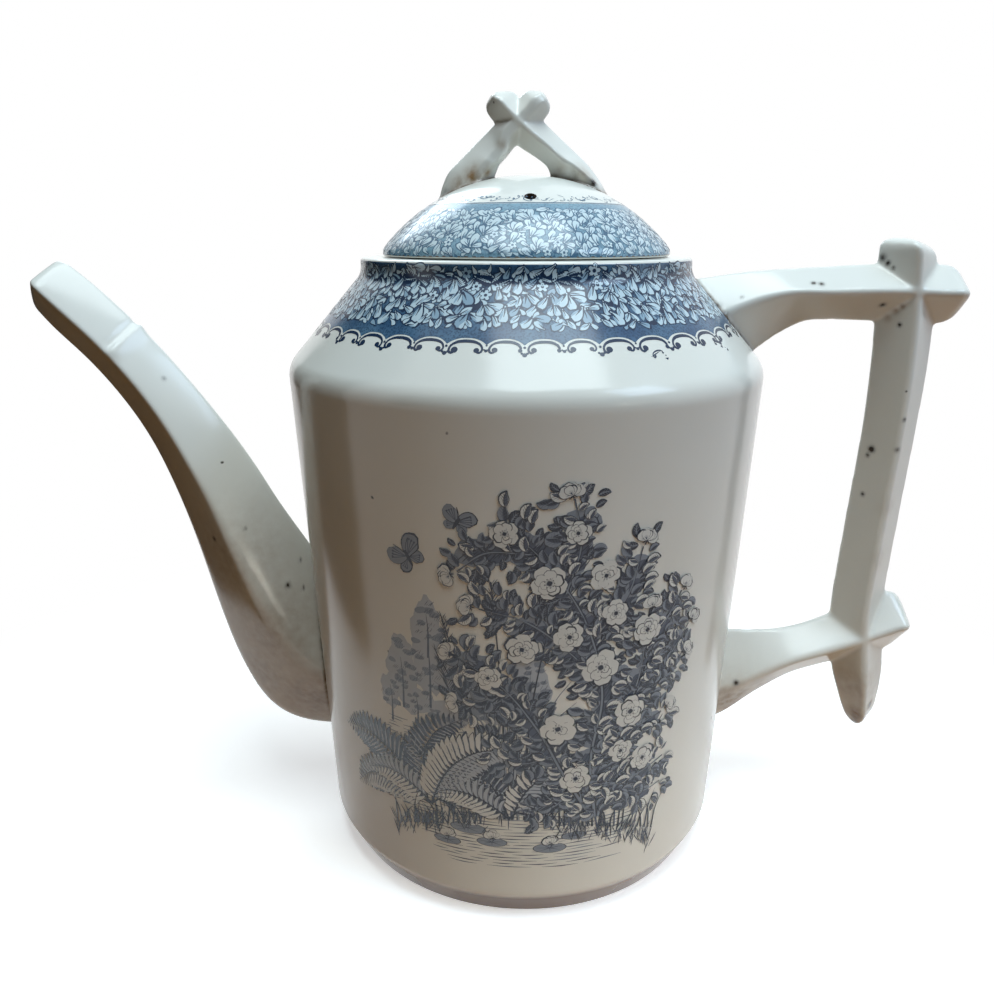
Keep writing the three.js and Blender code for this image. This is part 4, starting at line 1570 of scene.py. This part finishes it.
@dataclass
class Spray:
    """A garden spray on the wall: a flowering rose by a pool, with ferns, reeds, far trees and butterflies.

    It is laid out in millimetres round its own middle, x right and y up.
    """

    seed: int = 21
    leaf_length: float = 3.6
    water_side: float = -37.0
    crowns: tuple = ((-31, 3, 4.6, 8), (-23, 9, 5, 12), (-15, 2, 5, 9), (-35, -5, 3.2, 5), (-8, -3, 5, 6),
                     (2, 2, 5, 8), (-27, -6, 5, 4), (-18, -8, 5, 4), (-23, 17, 3.4, 6))
    pads: tuple = ((-14, -41, 4.6), (-7.5, -44.5, 3.8), (-20, -46, 3.6), (8, -46, 4.2), (14.5, -42.8, 3.2))
    plumes: tuple = ((-10, -9, 56), (-4, -3, 66), (1, 6, 60), (-7, -14, 47))
    fronds: tuple = (
        (-25, -36, 2.75, 27, 1), (-25, -36, 2.2, 33, 1), (-25, -36, 1.75, 30, -1), (-24, -36, 1.25, 31, -1),
        (-24, -36, 0.75, 25, -1), (-24, -36, 2.45, 22, 1), (-24, -36, 1.5, 21, 1), (-3, -37, 2.4, 22, 1),
        (-3, -37, 1.9, 26, 1), (-2, -37, 1.3, 21, -1), (-3, -37, 0.8, 20, -1))
    near_fronds: tuple = (0, 3, 5, 7, 9)
    stems: tuple = (
        ((20, -38), (18, -20), (20, -2), (15, 18), (5, 34), (-5, 44)),
        ((21, -38), (25, -16), (30, 2), (31, 18)), ((19, -38), (11, -24), (4, -10), (-5, 2), (-16, 9)),
        ((20, -22), (29, -14), (38, -11)), ((20, 0), (12, 10), (1, 19), (-10, 22)),
        ((17, 14), (25, 24), (28, 36)), ((17, -28), (31, -28), (40, -25)), ((10, 26), (13, 38), (11, 49)),
        ((30, 8), (36, 14), (41, 22)), ((-2, 0), (-8, -4), (-15, -4)), ((2, 36), (-8, 36), (-15, 31)),
        ((24, -14), (34, -2), (44, 3)), ((8, -18), (0, -20), (-7, -17)), ((30, 4), (38, 4), (45, 12)),
        ((13, -28), (9, -33), (3, -34)), ((26, -30), (34, -34), (40, -33)))
    roses: tuple = (
        (19, 6, 4.7), (6, 29, 4.2), (31, 14, 4.0), (9, -10, 4.4), (28, -8, 4.4), (0, 12, 3.8), (19, 30, 3.6),
        (14, -25, 4.0), (33, -23, 3.6), (-4, 41, 3.2), (11, 15, 3.6), (26, -19, 3.2), (12, 41, 3.0),
        (22, 20, 3.4), (-8, 4, 3.2))
    buds: tuple = (
        (-17.5, 9.5, 2.6), (-12, 22.5, 2.8), (28.5, 37.5, 1.2), (10.5, 50, 1.7), (40, -10, 0.3),
        (42, 23, 0.9), (-16.5, 30, 3.4), (45, 4, 0.4), (-16, -4, 3.2), (32, 20, 1.4), (46, 13, 0.7))
    reach: tuple[float, float] = (47.0, 53.0)

    def drawn(self) -> Sheet:
        """Draws the whole spray from the back to the front.

        Returns:
            The flat sheet.
        """
        self.rng, self.sheet = np.random.default_rng(self.seed), Sheet()
        for step in (self.far_trees, self.pool, self.reeds, self.ferns, self.bush, self.bank):
            step()
        self.butterfly(-27.0, 33.0, 0.5, 5.6)
        self.butterfly(-14.5, 43.0, -0.55, 4.4)
        return self.sheet

    def coats(self, coats: Sequence, x: float, y: float, turn: float, size: float, lift: float) -> None:
        """Stamps stock shapes over each other, each with its tone and how far it rises above a layer."""
        for tone, kind, rise in coats:
            self.sheet.stamp(tone, kind, x, y, turn, size, lift + rise)

    def line(self, tone: Tone, stations: Rows, widths: Sequence[float], lift: float) -> None:
        """Draws a line through stations with half widths that change along it."""
        length = sum(math.dist(a, b) for a, b in zip(stations, stations[1:]))
        self.sheet.draw(tone, Flat.strip(stations, widths, max(4, int(length / 1.1)), 1), lift)

    def ripple(self, tone: Tone, x: float, y: float, length: float, sway: float, widths: Rows) -> None:
        """Draws a nearly level line whose middle lies off it by a sway."""
        self.line(tone, [(x, y), (x + length / 2, y + sway), (x + length, y)], widths, 1)

    def blob(self, tone: Tone, place: Sequence[float], wide: float, tall: float, lift: float,
             sides: int) -> None:
        """Draws a soft mass with an uneven edge.

        Args:
            tone: Its tone.
            place: Its middle.
            wide: Half its width.
            tall: Half its height.
            lift: Its layer.
            sides: Its corners.
        """
        mass = Flat.round(1.0, sides=sides)
        angle = np.arctan2(mass.points[:, 1], mass.points[:, 0])
        edge = 1 + sum(share * np.sin(k * angle + self.rng.uniform(0, 6.3)) for k, share in
                       ((2, 0.06), (3, 0.08), (5, 0.07), (sides // 3, 0.06)))
        self.sheet.draw(tone, Flat(mass.points * edge[:, None] * [wide, tall] + place, mass.faces), lift)

    def far_trees(self) -> None:
        """Draws far trees: pale crowns, with darker clumps and short strokes on their shaded side."""
        rng, put = self.rng, self.sheet.stamp
        for x, y, wide, tall in self.crowns:
            self.blob(Tone.WASH, (x, y), wide, tall, 0.6, 30)
            for _ in range(int(wide * tall * 0.62)):
                turn, reach = rng.uniform(0, 2 * math.pi), math.sqrt(rng.random()) * 0.96
                px, py = x + wide * reach * math.cos(turn), y + tall * reach * math.sin(turn)
                size = rng.uniform(0.6, 1.2)
                if rng.random() < 0.72:
                    self.blob(Tone.SOFT, (px, py), 1.25 * size, 0.8 * size, 0.9 + 0.1 * rng.random(), 10)
                if px > x - 0.2 * wide or py < y:
                    for k in range(4):
                        put(Tone.MID, Stock.HATCH, px + size * (0.5 * k - 1), py - 0.8 * size,
                            rng.uniform(0.7, 1.3), rng.uniform(1.0, 1.9), 1.2)
            trunk = [(x, y - tall - 4), (x + 0.3, y - 0.4 * tall), (x, y + 0.3 * tall)]
            self.line(Tone.MID, trunk, [0.32, 0.22, 0.05], 1.5)
        for row in range(13):
            x = -38 + rng.uniform(0, 3) + abs(row - 5) * 0.3
            while x < 8:
                length = rng.uniform(2, 7)
                self.ripple(Tone.SOFT, x, -12.5 - row * 0.95, length, rng.uniform(-0.15, 0.25),
                            [0.05, 0.14, 0.04])
                x += length + rng.uniform(0.8, 4)

    def pool(self) -> None:
        """Draws the pool as level lines, darker near its bank, with lily pads that each bear a flower."""
        rng = self.rng
        for row in range(26):
            reach = 35 - 0.0352 * (row - 6) ** 2
            x = -reach + rng.uniform(0, 6)
            while x < reach - 4:
                length = rng.uniform(3, 12)
                tone = Tone.MID if row % 3 == 0 or rng.random() < 0.25 else Tone.SOFT
                self.ripple(tone, x, -27.5 - row * 0.98, length, rng.uniform(-0.2, 0.2), [0.03, 0.16, 0.03])
                x += length + rng.uniform(0.6, 3.5)
        for x, y, size in self.pads:
            for tone, grow, lift in ((Tone.INK, 0.22, 2.0), (Tone.SOFT, 0.0, 2.6)):
                pad = Flat.round(size, sides=22, grow=grow)
                self.sheet.draw(tone, Flat(pad.points * [1, 0.36] + [x, y], pad.faces), lift)
            for angle in np.linspace(0.4, 5.6, 7):
                across, up = 0.85 * size * math.cos(angle), 0.3 * size * math.sin(angle)
                vein = [(x + s * across, y + s * up) for s in (0, 0.5, 1)]
                self.line(Tone.MID, vein, [0.1, 0.08, 0.02], 3.2)
            self.folded_rose(x + 0.2, y + 1.4, 2.3, 1.57, 3.6)

    def bank(self) -> None:
        """Draws the bank in front: dark hatching and blades of grass."""
        rng = self.rng
        for _ in range(420):
            x = rng.uniform(-37, 39)
            y = -36 - 0.008 * x * x - (2.4 if x > 8 else 0) + rng.normal(0, 1.6)
            if -12 < x < 6 and rng.random() < 0.7:
                continue
            self.sheet.stamp(Tone.INK if rng.random() < 0.5 else Tone.MID, Stock.HATCH, x, y - 1.4,
                             rng.uniform(0.9, 2.2), rng.uniform(2.2, 4.6), 12 + rng.random())
        for x in np.concatenate([np.arange(-36, -10, 1.5), np.arange(9, 39, 1.3)]):
            sway, tall, y = rng.uniform(-3.6, 3.6), rng.uniform(5, 12), -38.5 - 0.006 * x * x
            blade = [(x, y), (x + 0.3 * sway, y + 0.6 * tall), (x + sway, y + tall)]
            self.line(Tone.INK if rng.random() < 0.6 else Tone.MID, blade, [0.26, 0.2, 0.02], 13)

    def reeds(self) -> None:
        """Draws reeds behind the ferns: long blades that bend over, and plumed heads."""
        rng, foot = self.rng, self.water_side
        for i in range(26):
            x, sway, tall = -6 + rng.uniform(-6, 11), rng.uniform(-16, 12), rng.uniform(22, 50)
            blade = [(x, foot), (x + 0.12 * sway, foot + 0.4 * tall), (x + 0.45 * sway, foot + 0.78 * tall),
                     (x + sway, foot + tall * rng.uniform(0.86, 1.0))]
            lift = 3 + (i % 5) * 0.4
            self.line(Tone.MID if i % 3 else Tone.INK, blade, [0.34, 0.34, 0.26, 0.02], lift)
            self.line(Tone.WASH, [(a + 0.08, b) for a, b in blade], [0.12, 0.14, 0.1, 0.01], lift + 0.3)
        for x, sway, tall in self.plumes:
            top = (x + sway, foot + tall)
            self.line(Tone.INK, [(x, foot), (x + 0.2 * sway, foot + 0.5 * tall), top], [0.26, 0.2, 0.12], 5.2)
            for k in range(46):
                left = 1 - k / 46
                way = 1.57 + (1 if k % 2 else -1) * rng.uniform(0.2, 0.7)
                size = rng.uniform(2.6, 4.4) * (0.5 + 0.6 * left)
                self.sheet.stamp(Tone.MID if k % 3 else Tone.INK, Stock.HATCH, top[0] - 0.28 * sway * left,
                                 top[1] - 13 * left, way, size, 5.4 + 0.02 * k)

    def ferns(self) -> None:
        """Draws fern fronds that spread from two roots, with pairs of leaflets that shorten to the tip."""
        for n, (x, y, turn, length, bend) in enumerate(self.fronds):
            ways = [(s, turn + bend * 0.55 * s * s) for s in np.linspace(0, 1, 5)]
            stations = [(x + length * s * math.cos(way), y + length * s * math.sin(way)) for s, way in ways]
            near = n in self.near_fronds
            base = 6 + (n % 4) * 1.5 + 4 * near
            self.line(Tone.INK, stations, [0.24, 0.2, 0.14, 0.05], base + 0.9)
            pairs = int(length / 1.25)
            rib = evenly(through(stations, 80), pairs + 1)
            for k in range(2, pairs + 1):
                way = math.atan2(*(rib[k] - rib[k - 1])[::-1])
                size = 0.22 * length * math.sin(math.pi * min(1.0, 0.16 + 0.86 * k / pairs)) ** 0.8 + 0.6
                for side in (-1, 1):
                    coats = [(Tone.MID if (k + n) % 2 else Tone.INK, Stock.FROND, 0)]
                    if near:
                        coats = [(Tone.INK, Stock.FROND_LINE, 0),
                                 (Tone.PAPER if side > 0 else Tone.WASH, Stock.FROND, 0.3)]
                    self.coats(coats, *rib[k], way + side * 1.12, size, base)
                    self.sheet.stamp(Tone.MID if near else Tone.WASH, Stock.HATCH, *rib[k], way + side * 1.06,
                                     size * 0.8, base + 0.5)

    def petals(self, x: float, y: float, size: float, turn: float, lift: float, rings: Rows) -> float:
        """Draws rings of petals.

        Args:
            x: Their middle across.
            y: Their middle up.
            size: The length of the outer ones.
            turn: Which way they face.
            lift: Their first layer.
            rings: For each ring how many it has, their share of the length, its turn and their spacing.

        Returns:
            The layer above them.
        """
        for count, share, shift, spread in rings:
            for k in range(count):
                way = turn + shift + (k - (count - 1) / 2) * spread + self.rng.uniform(-0.08, 0.08)
                self.coats(PETAL_COATS, x, y, way, size * share * self.rng.uniform(0.93, 1.07), lift)
                lift += 0.55
        return lift

    def folded_rose(self, x: float, y: float, size: float, turn: float, lift: float) -> None:
        """Draws a rose or a bud that is seen from the side.

        Args:
            x: Its foot across.
            y: Its foot up.
            size: The length of its outer petals.
            turn: Which way it faces.
            lift: Its first layer.
        """
        level = self.petals(x, y, size, turn, lift, ((5, 1.0, 0, 0.52), (3, 0.8, 0, 0.52)))
        for way in (turn + 2.2, turn + math.pi, turn - 2.2):
            self.sheet.stamp(Tone.INK, Stock.FROND, x, y, way, size * 0.45, level)

    def open_rose(self, x: float, y: float, size: float) -> None:
        """Draws a rose that is seen from the front, with its ring of stamens.

        Args:
            x: Its middle across.
            y: Its middle up.
            size: The length of its outer petals.
        """
        rings = ((5, 1.0, 0, 0.4 * math.pi), (5, 0.74, 0.62, 0.4 * math.pi), (4, 0.5, 0.2, 0.5 * math.pi))
        level = self.petals(x, y, size, self.rng.uniform(0, 6), 33, rings)
        self.sheet.stamp(Tone.INK, Stock.DOT, x, y, 0, size * 0.3, level)
        out = 0.27 * size
        for way in np.linspace(0, 2 * math.pi, 9, endpoint=False):
            self.sheet.stamp(Tone.INK, Stock.DOT, x + out * math.cos(way), y + out * math.sin(way), 0,
                             size * 0.07, level + 0.3)

    def bush(self) -> None:
        """Draws the rose bush: its stems, leaves in three depths, roses and buds."""
        rng = self.rng
        boughs = []
        for n, stem in enumerate(self.stems):
            width = 0.75 if n < 3 else 0.34
            self.line(Tone.INK, stem, [width, width * 0.75, width * 0.5, 0.18], 14)
            self.line(Tone.SOFT, [(a - 0.1, b + 0.06) for a, b in stem],
                      [width * 0.5, width * 0.36, 0.18, 0.03], 14.5)
            length = sum(math.dist(a, b) for a, b in zip(stem, stem[1:]))
            boughs.append(evenly(through(stem, 80), int(length / 1.3)))
            for x, y in boughs[-1][3:-3:3]:
                wide = rng.uniform(2.4, 4.4)
                x, y = x + rng.uniform(-1.5, 1.5), y + rng.uniform(-1.5, 1.5)
                self.blob(Tone.SOFT, (x, y), wide, 0.85 * wide, 4.6 + 0.4 * rng.random(), 16)
                self.blob(Tone.MID, (x + 0.6, y - 0.6), 0.66 * wide, 0.55 * wide, 5.2 + 0.4 * rng.random(),
                          12)
                for k in range(7):
                    self.sheet.stamp(Tone.INK, Stock.HATCH, x + wide * (0.26 * k - 0.9),
                                     y - 0.5 * wide + rng.uniform(-0.6, 0.6), rng.uniform(0.7, 1.1),
                                     wide * rng.uniform(0.7, 1.1), 6)
        for depth, step, spread, bare in ((0, 1, 6.0, 0.2), (1, 1, 5.0, 0.25), (2, 2, 4.6, 0.35)):
            for n, bough in enumerate(boughs):
                for k in range(1, len(bough), step):
                    way = math.atan2(*(bough[k] - bough[k - 1])[::-1])
                    for side in (-1, 1):
                        if rng.random() >= bare:
                            away, turn = rng.uniform(0.3, spread), way + side * rng.uniform(0.5, 1.7)
                            lift = 8 + depth * 8 + (k * 5 + n * 3 + (side > 0)) % 7
                            self.leaf(bough[k], away, turn, lift, depth)
        for rose in self.roses:
            self.open_rose(*rose)
        for x, y, turn in self.buds:
            self.folded_rose(x, y, 2.9, turn, 33)

    def leaf(self, place: Array, away: float, turn: float, lift: float, depth: int) -> None:
        """Draws a rose leaf, unless it leaves the picture or would cover a rose.

        Args:
            place: The place on the bough that it grows from.
            away: How far from there its foot is.
            turn: Its direction.
            lift: Its layer.
            depth: 0 for a dark one at the back, 1 for one between, 2 for a pale one in front.
        """
        way = np.array([math.cos(turn), math.sin(turn)])
        size = self.leaf_length * self.rng.uniform(0.62, 1.08)
        foot = place + away * way
        if (foot + size * way > self.reach).any():
            return
        if depth and any(math.dist(foot + 0.5 * size * way, (x, y)) < 0.9 * r for x, y, r in self.roses):
            return
        self.coats(LEAF_COATS[depth], *foot, turn + self.rng.uniform(-0.3, 0.3), size, lift)

    def butterfly(self, x: float, y: float, turn: float, size: float) -> None:
        """Draws a butterfly with open wings.

        Args:
            x: Its middle across.
            y: Its middle up.
            turn: Its tilt.
            size: The length of its upper wings.
        """
        across, up = (math.cos(turn), math.sin(turn)), (-math.sin(turn), math.cos(turn))
        for side in (-1, 1):
            for way, share, level in ((0.62, 1.0, 3.0), (-0.62, 0.72, 2.0)):
                self.coats(WING_COATS, x, y, turn + (way if side > 0 else math.pi - way), size * share, level)
            tip = [at + size * (0.42 * side * a + 0.7 * u) for at, a, u in zip((x, y), across, up)]
            bend = ((x + tip[0]) / 2 - 0.1 * side * size, (y + tip[1]) / 2)
            self.line(Tone.INK, [(x, y), bend, tip], [0.1, 0.07, 0.1], 4.5)
        body = [(x + s * size * up[0], y + s * size * up[1]) for s in (-0.45, 0, 0.28)]
        self.line(Tone.INK, body, [0.16, 0.42, 0.5, 0.3], 5)


@dataclass
class Prints:
    """The prints on the pot and the lid."""

    pot: PotBody
    lid: Lid
    front: float = -math.pi / 2
    border_drop: float = 1.1
    spray_height: float = 70.0

    def build(self) -> list[Object]:
        """Prints both borders and the spray, which the back has too.

        Returns:
            The printed pieces.
        """
        stock, line = stock_shapes(), self.pot.outside()
        zeros = np.interp([self.pot.rim_height - self.border_drop, self.spray_height], line.points[:, 1],
                          run_of(line.points))
        border = LeafBorder("shoulder_border", 0.45, -19.2, 7.8, 1.0, 50.0, strays=(
            (26.7, -22.6, Stock.SCROLL_SMALL, 0.3, 0.45), (28.6, -23.2, Stock.TREFOIL, 0.0, 0.5),
            (25.0, -24.0, Stock.HATCH, 0.4, 3.4), (46.9, -22.4, Stock.SCROLL, -0.5, 0.42),
            (48.2, -23.6, Stock.TREFOIL, 0.6, 0.5)))
        shoulder = Press(line, zeros[0], border.unit_radius)
        made = shoulder.print(border.name, border.drawn(), stock, "pot", "body_glaze", self.front)
        lip = [(self.lid.radius - 0.12, self.lid.rim_height + self.lid.seat_gap + 0.35)]
        narrow = LeafBorder("lid_border", 0.1, 17.6, 6.4, 0.84, 33.0, flip=-1, clear=1.9, scrolled=False,
                            ground_tone=Tone.PALE_GROUND, line_tone=Tone.STEEL,
                            leaf_tones=(Tone.PALE_LEAF, Tone.LEAF), seed=11)
        dome = Press(Outline(np.vstack([lip, self.lid.dome()[1:]])), 0.0, narrow.unit_radius)
        made += dome.print(narrow.name, narrow.drawn(), stock, "lid", "lid_glaze", self.front)
        wall, spray = Press(line, zeros[1], 62.0, seed=3), Spray().drawn()
        for name, facing in (("front_spray", self.front), ("back_spray", self.front + math.pi)):
            made += wall.print(name, spray, stock, "pot", "body_glaze", facing)
        return made


def seen(add: Callable) -> NodeSocket:
    """Adds an output that is 1 for what the camera, a gloss or a glass sees, and 0 for light on a surface.

    Args:
        add: Adds a node to its tree.

    Returns:
        The output.
    """
    path = add("LightPath").node.outputs
    some = add("Math", {0: path["Is Camera Ray"], 1: path["Is Glossy Ray"]}, operation="MAXIMUM")
    return add("Math", {0: some, 1: path["Is Transmission Ray"]}, operation="MAXIMUM")


@dataclass(frozen=True)
class Board(Finish):
    """Painted matt board: nearly white to the camera, shadowed near the object, and warm to the ware."""

    bounce: str = "#966a3e"
    glow: float = 0.5
    shadow_reach: tuple[float, float] = (0.09, 0.25)

    def dress(self, add: Callable) -> dict:
        """Adds what the camera and what the ware sees.

        Args:
            add: Adds a node to its tree.

        Returns:
            What the shader's inputs are set to.
        """
        sight = seen(add)
        start, end = self.shadow_reach
        far = add("VectorMath", {0: add("TexCoord", out="Object")}, "Value", operation="LENGTH")
        away = add("MapRange", {"Value": far, "From Min": start, "From Max": end},
                   interpolation_type="SMOOTHSTEP")
        near = add("Mix", {0: away, 6: linear("#ffffff"), 7: linear("#000000")}, 2, data_type="RGBA")
        colour = add("Mix", {0: sight, 6: linear(self.bounce), 7: near}, 2, data_type="RGBA")
        whole = add("MapRange", {"Value": away, "To Min": self.glow})
        shine = add("Math", {0: sight, 1: whole}, operation="MULTIPLY")
        return {"Base Color": colour, "Roughness": 0.9, "Specular IOR Level": 0.0,
                "Emission Color": (1, 1, 1, 1), "Emission Strength": shine}


@dataclass
class Studio:
    """A pale floor, soft light from above and a weak fill, and the camera where the photograph was taken."""

    camera_place: tuple[float, float, float] = (0.01041, -0.2407, 0.1745)
    camera_pitch: float = -17.285
    camera_yaw: float = 1.853
    lens: float = 30.75
    floor_half: float = 3.0

    def build(self) -> None:
        """Makes the floor, the world, the cards, the lamps and the camera."""
        half = self.floor_half
        self.stand("floor", [(-half, -half, 0), (half, -half, 0), (half, half, 0), (-half, half, 0)],
                   Board("pale_matt_board"))
        self.world()
        # The cards stand out of view, for the ware to reflect and to keep light off it.
        for name, start, end, height in (("room_side", (-2.4, -1.3), (2.4, -1.3), 1.3),
                                         ("left_flag", (-0.145, -0.05), (-0.6, 0.72), 0.34)):
            corners = [(*start, 0), (*end, 0), (*end, height), (*start, height)]
            self.stand(name, corners, Felt("dark_felt")).visible_camera = False
        self.lamp("roof_panel", (0.07, -0.12, 0.88), (0.02, 0, 0.1), 0.52, 5.6, "#ebfaff")
        self.lamp("right_panel", (0.6, -0.3, 0.7), (0, 0, 0.1), 0.35, 2.6, "#c9e4ff")
        self.lamp("back_window", (-0.4, 0.8, 0.8), (0.02, 0, 0.1), 0.45, 3.2, "#e4f4ff")
        self.lamp("low_glow", (0.5, -0.5, 0.14), (0.03, -0.05, -0.11), 0.25, 0.12, "#fbf4e4", 32)
        camera = bpy.data.cameras.new("camera")
        camera.lens, camera.sensor_width, camera.sensor_fit, camera.clip_start = self.lens, 36.0, "AUTO", 0.01
        holder = linked("camera", camera)
        holder.location = self.camera_place
        holder.rotation_euler = (math.radians(90 + self.camera_pitch), 0, math.radians(self.camera_yaw))
        bpy.context.scene.camera = holder
        bpy.context.scene.view_settings.view_transform = "Standard"

    def stand(self, name: str, corners: Rows, finish: Finish) -> Object:
        """Sets up a flat board that only the studio has.

        Args:
            name: Its name.
            corners: Its four corners.
            finish: What it is finished in.

        Returns:
            The board.
        """
        mesh = bpy.data.meshes.new(name)
        mesh.from_pydata(corners, [], [(0, 1, 2, 3)])
        mesh.materials.append(finish.material())
        board = linked(name, mesh)
        return board

    def lamp(self, name: str, place: tuple, aim: tuple, size: float, power: float, colour: str,
             spread: float = 180.0) -> None:
        """Hangs a square soft lamp.

        Args:
            name: Its name.
            place: Where it hangs.
            aim: What it points at.
            size: Its side in metres.
            power: Its power in watts.
            colour: Its colour.
            spread: How wide its beam opens, in degrees.
        """
        light = bpy.data.lights.new(name, "AREA")
        light.shape, light.size, light.energy, light.color = "SQUARE", size, power, linear(colour)[:3]
        light.spread = math.radians(spread)
        holder = linked(name, light)
        holder.location = place
        holder.rotation_euler = (Vector(aim) - Vector(place)).to_track_quat("-Z", "Y").to_euler()

    def world(self) -> None:
        """Sets a white backdrop that lights the object only a little."""
        world = bpy.data.worlds.new("studio_backdrop")
        world.use_nodes = True
        tree = world.node_tree
        add = partial(add_node, tree)
        colour = add("Mix", {0: seen(add), 6: linear("#1d1814"), 7: (1, 1, 1, 1)}, 2, data_type="RGBA")
        tree.links.new(colour, tree.nodes["Background"].inputs["Color"])
        bpy.context.scene.world = world


def main() -> None:
    """Builds the teapot piece by piece and reports each."""
    logging.basicConfig(level=logging.INFO, format="%(message)s")
    pot, lid = PotBody(), Lid()
    made = pot.build() + Spout().build(pot) + Handle().build(pot) + lid.build() + Knob().build(lid)
    made += Prints(pot, lid).build()
    for one in made:
        one.data.calc_loop_triangles()
        LOG.info("%s: %d triangles", one.name, len(one.data.loop_triangles))
    Studio().build()


if __name__ == "__main__":
    main()
